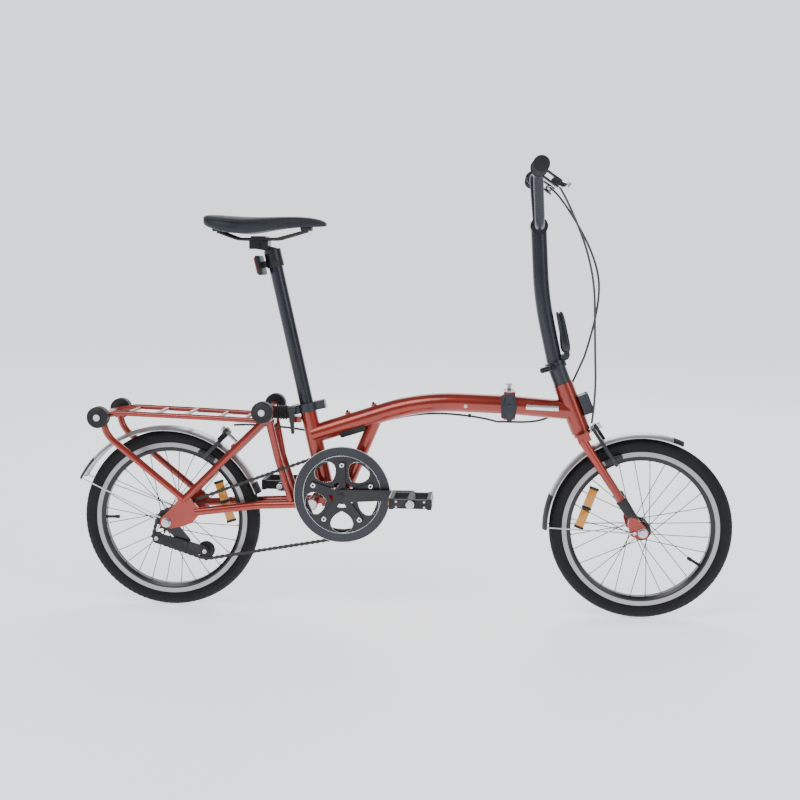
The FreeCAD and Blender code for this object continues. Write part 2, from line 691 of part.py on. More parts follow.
def brake_arm(label, anchor, out, down, side, layer, reach, axle):
    """Caliper arm that goes round the tyre, with its pad beside the rim."""
    place = anchor + out * layer
    outward = Y * side
    flip = 1 if outward.cross(down).dot(out) > 0 else -1
    outline = [(-9, -8), (8, -9), (31, -4), (41, 20), (41, reach - 14), (37, reach + 8),
               (26.5, reach + 8), (26.5, reach - 12), (29.5, 28), (21, 13), (0, 10), (-9, 6)]
    outline = [(u, v * flip) for u, v in outline]
    if flip < 0:
        outline.reverse()
    turn = rotation(outward, down * flip)
    arm = plate(label + "_plate", outline, 8, place, turn, 3.5)
    pad_radial = (anchor + out * (layer + 4) + down * reach - axle).normalize()
    pad_centre = axle + pad_radial * (size("rim_flange_radius") - 6.5) + Y * side * 18.2
    tangent = Y.cross(pad_radial)
    pad = block(label + "_pad", (42, 8, 9.5), pad_centre, rotation(tangent, Y))
    post = cylinder(label + "_pad_post", "4.5", 13, pad_centre + Y * side * 3, Y * side)
    bore = rod(label + "_bore", "4 + running_gap", place - out * 10, place + out * 20)
    return named(cut(label, fuse(label + "_body", [arm, pad, post]), [bore]), label)


def build_brakes():
    front_down = Y.cross(FRONT_BRAKE_OUT)
    rear_down = Y.cross(REAR_BRAKE_OUT) * -1
    for side_name, side in SIDES:
        layer = 29 if side < 0 else 37.3
        brake_arm("front_brake_arm_" + side_name, CROWN, FRONT_BRAKE_OUT, front_down, side, layer, 89,
                  FRONT_AXLE)
        brake_arm("rear_brake_arm_" + side_name, BRIDGE, REAR_BRAKE_OUT, rear_down,
                  side, layer, 70, REAR_AXLE)


# ---------------------------------------------------------------- fenders

def build_fenders():
    """Bands with the rods that hold them to the axle and to the frame."""
    front = [fender("front_fender_band", FRONT_AXLE, "front_fender_radius", 66, 181)]
    rear_centre = REAR_AXLE + Vector(-11.4, 0, -17.8)
    rear = [fender("rear_fender_band", rear_centre, "rear_fender_radius", 21, 151.5)]
    for side_name, side in SIDES:
        front.append(rod("front_fender_stay_" + side_name, "1.6", side_point(884, 22, 211, side),
                         side_point(1079, 57, 210, side)))
        front.append(cylinder("front_fender_eye_" + side_name, "4", 6.4, side_point(1079, 52.2, 210, side),
                              Y * side))
        rear.append(rod("rear_fender_stay_" + side_name, "1.6", side_point(-211.5, 22, 302.6, side),
                        side_point(-13, 65, 222, side)))
    to_axle = (CROWN - FRONT_AXLE).normalize()
    front.append(rod("front_fender_bracket", "4", FRONT_AXLE + to_axle * value("front_fender_radius - 1"),
                     CROWN - to_axle * 17.3))
    from_bridge = (BRIDGE - rear_centre).normalize()
    rear.append(rod("rear_fender_bracket", "4", rear_centre + from_bridge * value("rear_fender_radius - 1"),
                    BRIDGE - from_bridge * 7.3))
    named(fuse("front_fender", front), "front_fender")
    named(fuse("rear_fender", rear), "rear_fender")


# ---------------------------------------------------------------- cranks, chain and tensioner

def pitch_radius(teeth):
    return size("chain_pitch") / 2 / math.sin(math.pi / size(teeth))


CHAIN_Y = -size("chain_line")
JOCKEY = Vector(90, 0, 144)
GUIDE = Vector(-24, 0, 172)
JOCKEY_RADIUS, GUIDE_RADIUS = 22, 13
TENSIONER_PIVOT = Vector(45.6, 0, 163)
CRANK_RUN = Vector(math.cos(math.radians(size("crank_tilt"))), 0, math.sin(math.radians(size("crank_tilt"))))
CRANK_RISE = CRANK_RUN.cross(Y)


def toothed_ring(label, teeth, bore, thick, centre):
    """Ring with rounded tooth gaps on the chain's pitch circle."""
    count = int(size(teeth))
    pitch = pitch_radius(teeth)
    root, tip = pitch - 3.9, pitch + 2.2
    points = []
    for index in range(count):
        angle = 2 * math.pi * index / count
        for share, radius in ((-0.32, root), (-0.1, tip), (0.1, tip), (0.32, root)):
            turn = angle + share * 2 * math.pi / count
            points.append(Vector(math.cos(turn) * radius, 0, math.sin(turn) * radius))
    outer = Part.Face(Part.makePolygon(points + points[:1])).extrude(Y * thick)
    hole = Part.makeCylinder(bore, thick + 2, Y * -1, Y)
    piece = closed_shape(label, outer.cut(hole))
    piece.Placement = Placement(centre - Y * thick / 2, Rotation())
    return piece


def star(label, count, inner, outer, width, y_start, y_end):
    """Arms round the bottom bracket, as boxes between two radii."""
    arms = []
    for index in range(count):
        angle = 90 + 360 * index / count
        along = Vector(math.cos(math.radians(angle)), 0, math.sin(math.radians(angle)))
        centre = BRACKET + along * (inner + outer) / 2 + Y * (y_start + y_end) / 2
        arms.append(block("%s_%d" % (label, index), (outer - inner, abs(y_end - y_start), width), centre,
                          rotation(along, Y)))
    return arms


def ring_bolts(label, radius, at_radius, y_start, y_end):
    bolts = []
    for index in range(5):
        angle = math.radians(90 + 72 * index)
        along = Vector(math.cos(angle), 0, math.sin(angle))
        foot = BRACKET + along * at_radius
        bolts.append(rod("%s_%d" % (label, index), radius, foot + Y * y_start, foot + Y * y_end))
    return bolts


def crank_arm(label, side):
    face = BRACKET + Y * side * size("crank_face")
    along = CRANK_RUN * -side
    turn = rotation(along, CRANK_RISE)
    outline = [("crank_length", "-10"), ("crank_length", "10", "10.4", 1), ("0", "15"),
               ("0", "-15", "15.5", 1)]
    holes = [("0", "0", "spindle_radius"), ("crank_length", "0", "7")]
    return plate(label + "_bar", outline, "crank_thick", face, turn, None, holes)


def build_cranks():
    half = "bracket_width / 2"
    outline = [("spindle_radius + running_gap", "-" + half), ("bracket_bore - 0.02", "-" + half),
               ("bracket_bore - 0.02", half), ("spindle_radius + running_gap", half)]
    named(turned("bottom_bracket_cartridge", outline, BRACKET), "bottom_bracket_cartridge")
    right = [crank_arm("crank_arm_right", -1)] + star("spider", 5, 12, 76, 15, -53, -58)
    right.append(rod("spider_boss", "21", BRACKET - Y * 53, BRACKET - Y * 58))
    tools = [across("spider_bore", "spindle_radius", 90, BRACKET)]
    tools += ring_bolts("spider_hole", "4.2", 70, -50, -60)
    named(cut("crank_arm_right", fuse("crank_right_body", right), tools), "crank_arm_right")
    named(crank_arm("crank_arm_left", 1), "crank_arm_left")
    axles = [across("spindle", "spindle_radius", "crank_face + crank_thick - 2", BRACKET)]
    for side_name, side in SIDES:
        start = BRACKET + CRANK_RUN * -side * size("crank_length") + Y * side * size("crank_face")
        axles.append(cylinder("pedal_axle_" + side_name, "7", "crank_thick + 8", start, Y * side))
        axles.append(cylinder("pedal_pin_" + side_name, "4.5", "crank_thick + pedal_width + 14",
                              start, Y * side))
    named(fuse("crank_axles", axles), "crank_axles")
    ring = [toothed_ring("chainring_teeth_plate", "chainring_teeth", 82, 2, BRACKET + Y * CHAIN_Y)]
    ring += star("ring_tab", 5, 62, 84, 17, CHAIN_Y + 1, CHAIN_Y - 1)
    ring += ring_bolts("ring_bolt", "4", 70, CHAIN_Y + 1, -60)
    named(fuse("chainring", ring), "chainring")
    guard = cylinder("guard_disc", "guard_radius", 2.4, BRACKET - Y * 49.5, Y * -1)
    guard_hole = cylinder("guard_hole", "guard_radius - 22", 6, BRACKET - Y * 48, Y * -1)
    tabs = star("guard_tab", 5, 61, 93, 18, -49.5, -51.9)
    guard_ring = fuse("guard_ring", [cut("guard_band", guard, [guard_hole])] + tabs)
    named(cut("chain_guard", guard_ring, ring_bolts("guard_bolt_hole", "4.2", 70, -45, -60)), "chain_guard")


def build_pedals():
    """Open cage round a barrel that turns on the pedal's axle."""
    for side_name, side in SIDES:
        inner = BRACKET + CRANK_RUN * -side * size("crank_length") + Y * side * value(
            "crank_face + crank_thick + 10")
        middle = inner + Y * side * value("pedal_width / 2")
        along = Vector(1, 0, 0)
        name = "pedal_" + side_name
        pieces = [across(name + "_barrel", "11", "pedal_width / 2", middle)]
        for end in (-1, 1):
            edge = middle + along * end * value("pedal_length / 2 - 5")
            pieces.append(block(name + "_rail", (10, "pedal_width", "pedal_thick"), edge))
            wall = middle + Y * end * value("pedal_width / 2 - 5")
            pieces.append(block(name + "_wall", ("pedal_length - 12", 10, "pedal_thick - 4"), wall))
        bore = across(name + "_bore", "4.5 + running_gap", "pedal_width", middle)
        named(cut(name, fuse(name + "_body", pieces), [bore]), name)


def chain_loop(wheels, offset):
    """Closed wire round the wheels, at an offset from the chain's pitch line."""
    normals = []
    for index, (centre, radius) in enumerate(wheels):
        after, after_radius = wheels[(index + 1) % len(wheels)]
        run = after - centre
        heading = math.atan2(run.z, run.x)
        angle = heading - math.acos((radius - after_radius) / run.Length)
        normals.append(angle)
    edges = []
    for index, (centre, radius) in enumerate(wheels):
        after, after_radius = wheels[(index + 1) % len(wheels)]
        arrive = normals[index - 1]
        leave = normals[index]
        sweep = (leave - arrive) % (2 * math.pi)
        places = [centre + (radius + offset) * Vector(math.cos(a), 0, math.sin(a))
                  for a in (arrive, arrive + sweep / 2, leave)]
        edges.append(Part.Arc(*places).toShape())
        touch = Vector(math.cos(leave), 0, math.sin(leave))
        edges.append(Part.LineSegment(places[2], after + (after_radius + offset) * touch).toShape())
    return Part.Wire(edges)


def build_chain():
    """Two side bands with the pins that join them along the straight runs."""
    wheels = [(BRACKET, pitch_radius("chainring_teeth")), (REAR_AXLE, pitch_radius("sprocket_teeth")),
              (GUIDE, GUIDE_RADIUS), (JOCKEY, JOCKEY_RADIUS)]
    height, width, band = size("chain_half_height"), size("chain_half_width"), 1.4
    outer, inner = chain_loop(wheels, height), chain_loop(wheels, -height)
    face = Part.Face(outer).cut(Part.Face(inner))
    solids = []
    for start in (-width, width - band):
        copy = face.copy()
        copy.translate(Y * (CHAIN_Y + start))
        solids.append(copy.extrude(Y * band))
    runs = [edge for edge in chain_loop(wheels, 0).Edges if edge.Curve.TypeId == "Part::GeomLine"]
    for run in sorted(runs, key=lambda edge: edge.Length)[-2:]:
        count = int(run.Length / size("chain_pitch"))
        start, end = run.Vertexes[0].Point, run.Vertexes[1].Point
        for index in range(1, count):
            place = start + (end - start) * index / count
            if all((place - centre).Length > radius + 5 for centre, radius in wheels):
                solids.append(Part.makeCylinder(2, 2 * width, place + Y * (CHAIN_Y - width), Y))
    piece = closed_shape("chain", solids[0].fuse(solids[1:]).removeSplitter())
    named(piece, "chain")


def pulley(label, centre, radius):
    """Tensioner wheel with a thin rib that runs between the chain's side bands."""
    seat = radius - size("chain_half_height") - 0.5
    outline = [("3.05", "-4"), ("7", "-4"), ("7", "-2.8"), (seat, "-2.8"), (seat, "-1"), (seat + 3, "-0.8"),
               (seat + 3, "0.8"), (seat, "1"), (seat, "2.8"), ("7", "2.8"), ("7", "4"), ("3.05", "4")]
    return named(turned(label, outline, centre + Y * CHAIN_Y), label)


def build_transmission():
    sprocket = [toothed_ring("sprocket_plate", "sprocket_teeth", 12, 2, REAR_AXLE + Y * CHAIN_Y),
                cylinder("sprocket_core", "16", 8.6, REAR_AXLE - Y * 39.4, Y * -1)]
    bore = across("sprocket_bore", "axle_radius + running_gap", 80, REAR_AXLE)
    named(cut("rear_sprocket", fuse("sprocket_body", sprocket), [bore]), "rear_sprocket")
    pulley("jockey_wheel", JOCKEY, JOCKEY_RADIUS)
    pulley("guide_wheel", GUIDE, GUIDE_RADIUS)
    build_chain()
    to_pivot = (TENSIONER_PIVOT - REAR_AXLE).normalize()
    reach = (TENSIONER_PIVOT - REAR_AXLE).Length
    outline = [(str(reach), "-11"), (str(reach), "11", "11.4", 1), ("0", "15"), ("0", "-15", "15.5", 1)]
    turn = rotation(to_pivot, to_pivot.cross(Y))
    bracket = plate("tensioner_bracket_plate", outline, 5, REAR_AXLE - Y * 50, turn, None,
                    [("0", "0", "axle_radius + 0.05")])
    stud = cylinder("tensioner_stud", "4.5", 17, TENSIONER_PIVOT - Y * 50, Y * -1)
    named(fuse("tensioner_bracket", [bracket, stud]), "tensioner_bracket")
    along = (JOCKEY - GUIDE).normalize()
    across_arm = along.cross(Y)
    length = (JOCKEY - GUIDE).Length
    arm_outline = [(str(length), "-11"), (str(length), "11", "11.4", 1), ("60", "13"), ("0", "12"),
                   ("0", "-12", "12.4", 1), ("60", "-12")]
    pieces = [plate("tensioner_plate", arm_outline, 5.5, GUIDE - Y * 56.5, rotation(along, across_arm))]
    for name, centre in (("jockey", JOCKEY), ("guide", GUIDE)):
        pieces.append(rod(name + "_stud", "3", centre - Y * 39.5, centre - Y * 63.5))
        pieces.append(rod(name + "_boss", "6", centre - Y * 48.3, centre - Y * 56.6))
    bore = across("tensioner_bore", "4.5 + running_gap", 90, TENSIONER_PIVOT)
    named(cut("tensioner_arm", fuse("tensioner_arm_body", pieces), [bore]), "tensioner_arm")


# ---------------------------------------------------------------- front frame and its clamp

def build_front_frame():
    half = 17.7
    tube_start = HINGE + X * (HALF_GAP + 2)
    head_low, head_high = on_steering(440.7), on_steering(440.7) + STEER_UP * size("head_tube_length")
    tube_end = on_steering(482)
    pieces = hinge_half("front_hinge", 1, ((-half, half),))
    pieces += [rod("front_tube", "frame_tube_radius", tube_start, tube_end),
               rod("head_tube", "head_tube_radius", head_low, head_high)]
    tools = hinge_bores("front_hinge")
    tools.append(rod("head_bore", "head_bore_radius", head_low - STEER_UP * 5, head_high + STEER_UP * 5))
    run = (tube_end - tube_start).normalize()
    tools.append(rod("front_tube_inside", "frame_tube_radius - frame_tube_wall", tube_start + run * 22,
                     tube_end - run * 26))
    named(cut("front_frame", fuse("front_frame_body", pieces), tools), "front_frame")
    cups = []
    for name, base, way in (("lower", head_low, STEER_UP * -1), ("upper", head_high, STEER_UP)):
        cups.append(cylinder(name + "_cup", "head_tube_radius - 0.5", 7, base, way))
        cups.append(cylinder(name + "_skirt", "head_bore_radius", 9, base - way * 9, way))
    bore = rod("cup_bore", "steerer_radius + running_gap",
               head_low - STEER_UP * 30, head_high + STEER_UP * 30)
    named(cut("headset_cups", fuse("headset_body", cups), [bore]), "headset_cups")
    centre = on_steering(487) + STEER_FORWARD * 33
    luggage = block("luggage_body", (24, 40, 46), centre, rotation(STEER_FORWARD, Y))
    recess = rod("luggage_seat", "head_tube_radius + 0.02", head_low, head_high)
    slot = block("luggage_slot", (8, 18, 60), centre + STEER_FORWARD * 9, rotation(STEER_FORWARD, Y))
    named(cut("luggage_block", luggage, [recess, slot]), "luggage_block")


def build_hinge_clamp():
    """Clamp plate outside both flanges, and the long lever that turns its bolt."""
    near = HINGE - Y * 33.4
    outline = [("-19", "-27"), ("13", "-27"), ("17", "0"), ("13", "27"), ("-19", "27")]
    pieces = [plate("clamp_plate_body", outline, 9, near, SIDE_VIEW, 4)]
    pieces.append(block("clamp_plate_lip", (4, 14, 44), near + Vector(-16.8, -1, 0)))
    bore = cylinder("clamp_plate_bore", "4 + running_gap", 30, near + Y * 10, Y * -1)
    named(cut("hinge_clamp_plate", fuse("hinge_plate_body", pieces), [bore]), "hinge_clamp_plate")
    lever_outline = [("-6", "-31"), ("6", "-31"), ("8", "-18"), ("13", "0"), ("8", "18"), ("6", "33"),
                     ("-6", "33"), ("-8", "18"), ("-13", "0"), ("-8", "-18")]
    face = near - Y * 9.4
    lever = plate("clamp_lever_plate", lever_outline, 8, face, SIDE_VIEW, 2.5)
    bolt = cylinder("clamp_bolt", "4", 36, HINGE - Y * 16, Y * -1)
    cap = cylinder("clamp_bolt_cap", "6.5", 3.5, face - Y * 8, Y * -1)
    named(fuse("hinge_clamp_lever", [lever, bolt, cap]), "hinge_clamp_lever")


# ---------------------------------------------------------------- fork

HEAD_LOW = on_steering(440.7)
HEAD_HIGH = HEAD_LOW + STEER_UP * size("head_tube_length")
POST_BASE = HEAD_HIGH + STEER_UP * 52
FOLD_OUT = (STEER_FORWARD + Y).normalize() * -1
FOLD_AXIS = (STEER_FORWARD - Y).normalize()
FOLD_PIN = POST_BASE + FOLD_OUT * 31.5


def build_fork():
    half = value("front_axle_width / 2")
    crown_top = HEAD_LOW - STEER_UP * 7.3
    crown = crown_top - STEER_UP * 10
    pieces = [rod("steerer", "steerer_radius", crown, POST_BASE - STEER_UP * 12),
              rod("crown_race", "19", crown, crown_top),
              block("crown_bar", (30, 98, 20), crown, rotation(STEER_FORWARD, Y)),
              rod("crown_tongue", "9", crown - STEER_UP * 4, CROWN - FRONT_BRAKE_OUT * 8)]
    outline = [("-26", "-8"), ("-8", "-14"), ("12", "-12"), ("14", "2"), ("4", "16"), ("-16", "34"),
               ("-32", "36"), ("-34", "16")]
    for side_name, side in SIDES:
        top, foot = side_point(957, 40, 420, side), side_point(1090, 41, 221, side)
        sleeve = top + (foot - top) * 0.68
        pieces.append(taper("fork_leg_" + side_name, "fork_leg_radius", "fork_tip_radius", top, foot))
        pieces.append(taper("fork_sleeve_" + side_name, "fork_leg_radius + 1", "fork_tip_radius + 1.5",
                            sleeve, foot))
        points = outline if side < 0 else [("-(%s)" % u, v) for u, v in reversed(outline)]
        turn = SIDE_VIEW if side < 0 else rotation(X * -1, Z)
        pieces.append(plate("fork_end_" + side_name, points, "dropout_thick", FRONT_AXLE + Y * side * half,
                            turn, 3))
    tools = [across("front_axle_bore", "axle_radius + 0.05", 80, FRONT_AXLE),
             rod("front_brake_bore", "4.03", CROWN - FRONT_BRAKE_OUT * 60, CROWN + FRONT_BRAKE_OUT * 60)]
    named(cut("fork", fuse("fork_body", pieces), tools), "fork")
    bolt = [axle_set("front_axle_bar", FRONT_AXLE, "front_axle_width", "dropout_thick + 12"),
            rod("front_brake_bolt", "4", CROWN - FRONT_BRAKE_OUT * 6, CROWN + FRONT_BRAKE_OUT * 51),
            rod("front_brake_nut", "7", CROWN + FRONT_BRAKE_OUT * 47, CROWN + FRONT_BRAKE_OUT * 53)]
    named(fuse("front_axle", bolt), "front_axle")


# ---------------------------------------------------------------- handlepost, bar and levers

def fold_knuckle(label, low, high):
    return [cylinder(label, "6.5", high - low, FOLD_PIN + FOLD_AXIS * low, FOLD_AXIS)]


def fold_arm(label, low, high, rise):
    """Web between a flange and its knuckle on one side of the split (rise is 1 above it)."""
    centre = FOLD_PIN - FOLD_OUT * 9 + FOLD_AXIS * (low + high) / 2 + STEER_UP * rise * 3.4
    return block(label, (18, high - low, 6.2), centre, rotation(FOLD_OUT, FOLD_AXIS))


def build_post_base():
    low = HEAD_HIGH + STEER_UP * 7.3
    pieces = [rod("base_socket", "20", low, POST_BASE - STEER_UP * 0.3),
              rod("base_flange", "24", POST_BASE - STEER_UP * 8.3, POST_BASE - STEER_UP * 0.3)]
    for name, start, end in (("near", -17, -8.3), ("far", 8.3, 17)):
        pieces += fold_knuckle("base_knuckle_" + name, start, end)
        pieces.append(fold_arm("base_arm_" + name, start, end, -1))
    pin = cylinder("base_pin", "3", 40, FOLD_PIN - FOLD_AXIS * 20, FOLD_AXIS)
    bore = rod("base_bore", "steerer_radius + 0.02", low - STEER_UP * 5, POST_BASE - STEER_UP * 11.9)
    body = cut("base_bored", fuse("base_body", pieces), [bore])
    named(fuse("handlepost_base", [body, pin]), "handlepost_base")


BAR_CENTRE = Vector(850, 0, 901)


def build_handlepost():
    foot = POST_BASE + STEER_UP * 8
    flange = rod("post_flange", "24", POST_BASE + STEER_UP * 0.3, foot + STEER_UP)
    post = tube("post_tube", "post_radius", [foot, Vector(860, 0, 736), BAR_CENTRE - Z * 6], 1100)
    clamp = across("bar_clamp", "20", 24, BAR_CENTRE)
    pieces = [flange, post, clamp, fold_arm("post_arm", -8, 8, 1)]
    pieces += fold_knuckle("post_knuckle", -8, 8)
    for side_name, side in SIDES:
        pieces.append(block("latch_ear_" + side_name, (16, 5, 14),
                            LATCH_PIN - STEER_FORWARD * 6 + Y * side * 11, rotation(STEER_FORWARD, Y)))
    tools = [rod("bar_bore", "bar_radius + 0.02", BAR_CENTRE - Y * 60, BAR_CENTRE + Y * 60),
             cylinder("post_pin_bore", "3 + running_gap", 60, FOLD_PIN - FOLD_AXIS * 30, FOLD_AXIS),
             across("latch_bore", "3 + running_gap", 30, LATCH_PIN)]
    named(cut("handlepost", fuse("handlepost_body", pieces), tools), "handlepost")


LATCH_PIN = POST_BASE + STEER_FORWARD * 30 + STEER_UP * 10


def build_latch():
    """Over-centre lever that lies along the front of the post."""
    outline = [("-3", "-4.6"), ("4", "-5"), ("8", "0"), ("10", "14"), ("12", "60"), ("18", "102"),
               ("12", "103"), ("4", "60"), ("-3", "12")]
    turn = rotation(STEER_FORWARD, STEER_UP)
    body = plate("latch_plate", outline, 16, LATCH_PIN + Y * 8, turn, 1.5)
    pin = across("latch_pin", "3", 14.5, LATCH_PIN)
    named(fuse("handlepost_latch", [body, pin]), "handlepost_latch")


BAR_END = X * BAR_CENTRE.x + Z * size("bar_z") - X * 9


def build_bar():
    half = size("bar_half")
    points = [BAR_END - Y * (half - 2), BAR_END - Y * 120, BAR_CENTRE - Y * 62, BAR_CENTRE + Y * 62,
              BAR_END + Y * 120, BAR_END + Y * (half - 2)]
    named(tube("handlebar", "bar_radius", points, 38), "handlebar")
    grips = []
    for side_name, side in SIDES:
        start = BAR_END + Y * side * (half - size("grip_length"))
        outline = [("bar_radius + 0.03", "0"), ("grip_radius + 2", "0"), ("grip_radius + 2", "3"),
                   ("grip_radius", "5"), ("grip_radius - 1", "grip_length / 2"),
                    ("grip_radius", "grip_length - 3"),
                   ("grip_radius - 3", "grip_length"), ("0", "grip_length"), ("0", "grip_length - 1.9"),
                   ("bar_radius + 0.03", "grip_length - 1.9")]
        grips.append(turned("grip_" + side_name, outline, start, Y * side))
    named(fuse("grips", grips), "grips")


PULL = Vector(0.82, 0, -0.57).normalize()
LEVER_THICK = 10


def build_levers():
    """Lever mounts on the bar and the two brake levers."""
    mounts = []
    for side_name, side in SIDES:
        outward = Y * side
        centre = BAR_END + Y * side * 152
        pivot = centre + PULL * 46
        swing = PULL.cross(outward)
        mounts.append(across("lever_ring_" + side_name, "16.5", 8, centre))
        for name, place in (("upper", 1), ("lower", -1)):
            fork_plate = [(-12, 12), (34, 8), (56, 9), (56, -12), (48, -21), (34, -21), (12, -7.5),
             (-12, -7.5)]
            turn = rotation(PULL, outward)
            base = centre + turn.multVec(Z) * (5.3 if place > 0 else -9.3)
            mounts.append(plate("lever_fork_%s_%s" % (name, side_name), fork_plate, 4, base, turn, 2))
        nipple = centre + PULL * 41 - outward * 11
        mounts.append(rod("lever_stop_" + side_name, "6", nipple, nipple - outward * 11))
        turn = rotation(outward, PULL)
        outline = [(-7, -9), (8, -9), (16, 2), (30, 16), (60, 20), (112, 21), (114, 29), (60, 31), (26, 29),
                   (6, 18), (-7, 6)]
        place = pivot - turn.multVec(Z) * LEVER_THICK / 2
        blade = plate("lever_blade_" + side_name, outline, LEVER_THICK, place, turn, 2)
        bore = rod("lever_bore_" + side_name, "3 + running_gap", pivot - swing * 20, pivot + swing * 20)
        named(cut("brake_lever_" + side_name, blade, [bore]), "brake_lever_" + side_name)
        mounts.append(rod("lever_pin_" + side_name, "3", pivot - swing * 10, pivot + swing * 10))
    bar_space = [across("mount_bore", "bar_radius + 0.03", 200, BAR_END)]
    named(cut("brake_lever_mounts", fuse("lever_mounts_body", mounts), bar_space), "brake_lever_mounts")


# ---------------------------------------------------------------- cables

LEVER_STOP = BAR_END + PULL * 41


def build_cables():
    """Brake cables as they lie with the bicycle ready to ride, one length per pair of bodies."""
    radius = "cable_radius"
    start = LEVER_STOP - Y * 128.4
    front = tube("front_brake_cable", radius,
                 [start, Vector(892, -92, 990), Vector(974, -44, 812), Vector(980, -34, 640),
                  Vector(986, -30, 520), Vector(978.4, -25, 456.5)], 60)
    start = LEVER_STOP + Y * 128.4
    upper = tube("rear_brake_cable_upper", radius,
                 [start, Vector(892, 92, 991), Vector(988, 50, 830), Vector(996, 34, 715),
                  Vector(962, 30, 604)], 90)
    named(fuse("bar_cables", [front, upper]), "bar_cables")
    named(tube("head_cable", radius,
               [Vector(961.4, 30, 602), Vector(938, 30.5, 545), Vector(904, 30, 482), Vector(872, 6, 454),
                Vector(820, 0, 453)], 40), "head_cable")
    named(rod("hinge_cable", radius, Vector(819.5, 0, 453), Vector(764.5, 0, 453)), "hinge_cable")
    named(tube("rear_cable", radius,
               [Vector(763, 0, 453), Vector(722, 3, 464), Vector(600, 20, 470), Vector(487, 20, 445),
                Vector(368, 25.5, 409), Vector(300, 25.5, 424), Vector(238, 13, 431), Vector(170, 14, 434),
                Vector(143.5, 24, 430)], 40), "rear_cable")


# ---------------------------------------------------------------- the whole bicycle

def build_all():
    for build in (build_wheels, build_fenders, build_main_frame, build_pins, build_seat_clamp,
                  build_seat_clamp_lever, build_seatpost, build_saddle, build_rear_frame, build_rollers,
                  build_rear_fasteners, build_bellows, build_brakes, build_cranks, build_pedals,
                  build_transmission, build_front_frame, build_hinge_clamp, build_fork, build_post_base,
                  build_handlepost, build_latch, build_bar, build_levers, build_cables):
        build()
    doc.recompute()


def move_to_origin():
    """Puts the origin midway along the bicycle, on the ground."""
    boxes = [piece.Shape.optimalBoundingBox(False) for piece in SUB_PARTS]
    middle = (min(box.XMin for box in boxes) + max(box.XMax for box in boxes)) / 2
    for piece in SUB_PARTS:
        piece.Placement = Placement(X * -middle, Rotation()) * piece.Placement
    doc.recompute()
    return middle


def check_all():
    for item in doc.Objects:
        if "Invalid" in item.State or "Error" in item.State:
            raise SystemExit("not built: " + item.Name)
    for piece in SUB_PARTS:
        if piece.Shape.isNull() or not piece.Shape.isValid():
            raise SystemExit("shape not valid: " + piece.Label)


build_all()
check_all()
print("rear axle at X = %.3f" % -move_to_origin())
check_all()
os.makedirs("parts", exist_ok=True)
for piece in SUB_PARTS:
    piece.Shape.exportStep("parts/%s.step" % piece.Label)
print("sub-parts written:", len(SUB_PARTS))
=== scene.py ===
"""Looks of a folding bicycle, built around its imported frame."""
import math

import bmesh
import bpy
from bpy.props import FloatProperty, FloatVectorProperty, PointerProperty
from mathutils import Matrix, Vector


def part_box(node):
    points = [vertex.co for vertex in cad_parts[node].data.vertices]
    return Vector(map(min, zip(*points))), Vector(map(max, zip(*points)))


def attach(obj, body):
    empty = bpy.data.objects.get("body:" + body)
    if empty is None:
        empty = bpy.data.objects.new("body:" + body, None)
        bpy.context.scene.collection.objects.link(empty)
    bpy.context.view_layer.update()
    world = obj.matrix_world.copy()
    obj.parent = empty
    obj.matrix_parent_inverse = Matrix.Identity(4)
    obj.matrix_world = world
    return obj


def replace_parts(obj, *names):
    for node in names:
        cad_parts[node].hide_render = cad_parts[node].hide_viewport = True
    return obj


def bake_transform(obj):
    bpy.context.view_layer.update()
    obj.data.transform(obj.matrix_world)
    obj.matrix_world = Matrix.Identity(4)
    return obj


bl_info = {
    "name": "Folding bicycle",
    "version": (1, 0, 0),
    "blender": (4, 5, 0),
    "location": "View3D > Sidebar > Bicycle",
    "description": "Finishes and fine parts of a folding bicycle",
    "category": "Object",
}

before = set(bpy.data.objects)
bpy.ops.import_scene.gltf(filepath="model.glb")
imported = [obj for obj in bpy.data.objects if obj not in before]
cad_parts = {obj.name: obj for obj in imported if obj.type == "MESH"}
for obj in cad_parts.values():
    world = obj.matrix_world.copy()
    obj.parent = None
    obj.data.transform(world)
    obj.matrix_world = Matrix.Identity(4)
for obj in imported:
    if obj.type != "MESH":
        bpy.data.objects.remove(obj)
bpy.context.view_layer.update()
MM = 0.001
UP = Vector((0, 0, 1))
LEFT = Vector((0, 1, 0))
AHEAD = Vector((1, 0, 0))
SIDES = (("right", -1), ("left", 1))


def middle(node):
    """Centre of a CAD node's box."""
    low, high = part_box(node)
    return (Vector(low) + Vector(high)) / 2


REAR_AXLE = middle("rear_rim")
FRONT_AXLE = middle("front_rim")
BRACKET = middle("bottom_bracket_cartridge")


TYRE_RADIUS = 0.210
TYRE_SECTION = 0.0175
TREAD_BLOCKS = 96
SPOKES = 28
CHAIN_PITCH = 0.0127
CHAINRING_TEETH = 50
SPROCKET_TEETH = 13
GUIDE_RADIUS = 0.013
JOCKEY_RADIUS = 0.022
PLATE_THICKNESS = 0.0007
PLATE_HALF_HEIGHT = 0.0041
ROLLER_RADIUS = 0.0032
PIN_RADIUS = 0.0014
GRIP_LENGTH = 0.122
GRIP_RIBS = 34
SPIDER_ARMS = [90 + 72 * index for index in range(5)]
SEAT_TUBE_LEAN = 12.8


def place(x, y, z):
    """A point given in millimetres from the ground under the rear axle."""
    return Vector((REAR_AXLE.x + x * MM, y * MM, z * MM))


# ---------------------------------------------------------------- shader writing

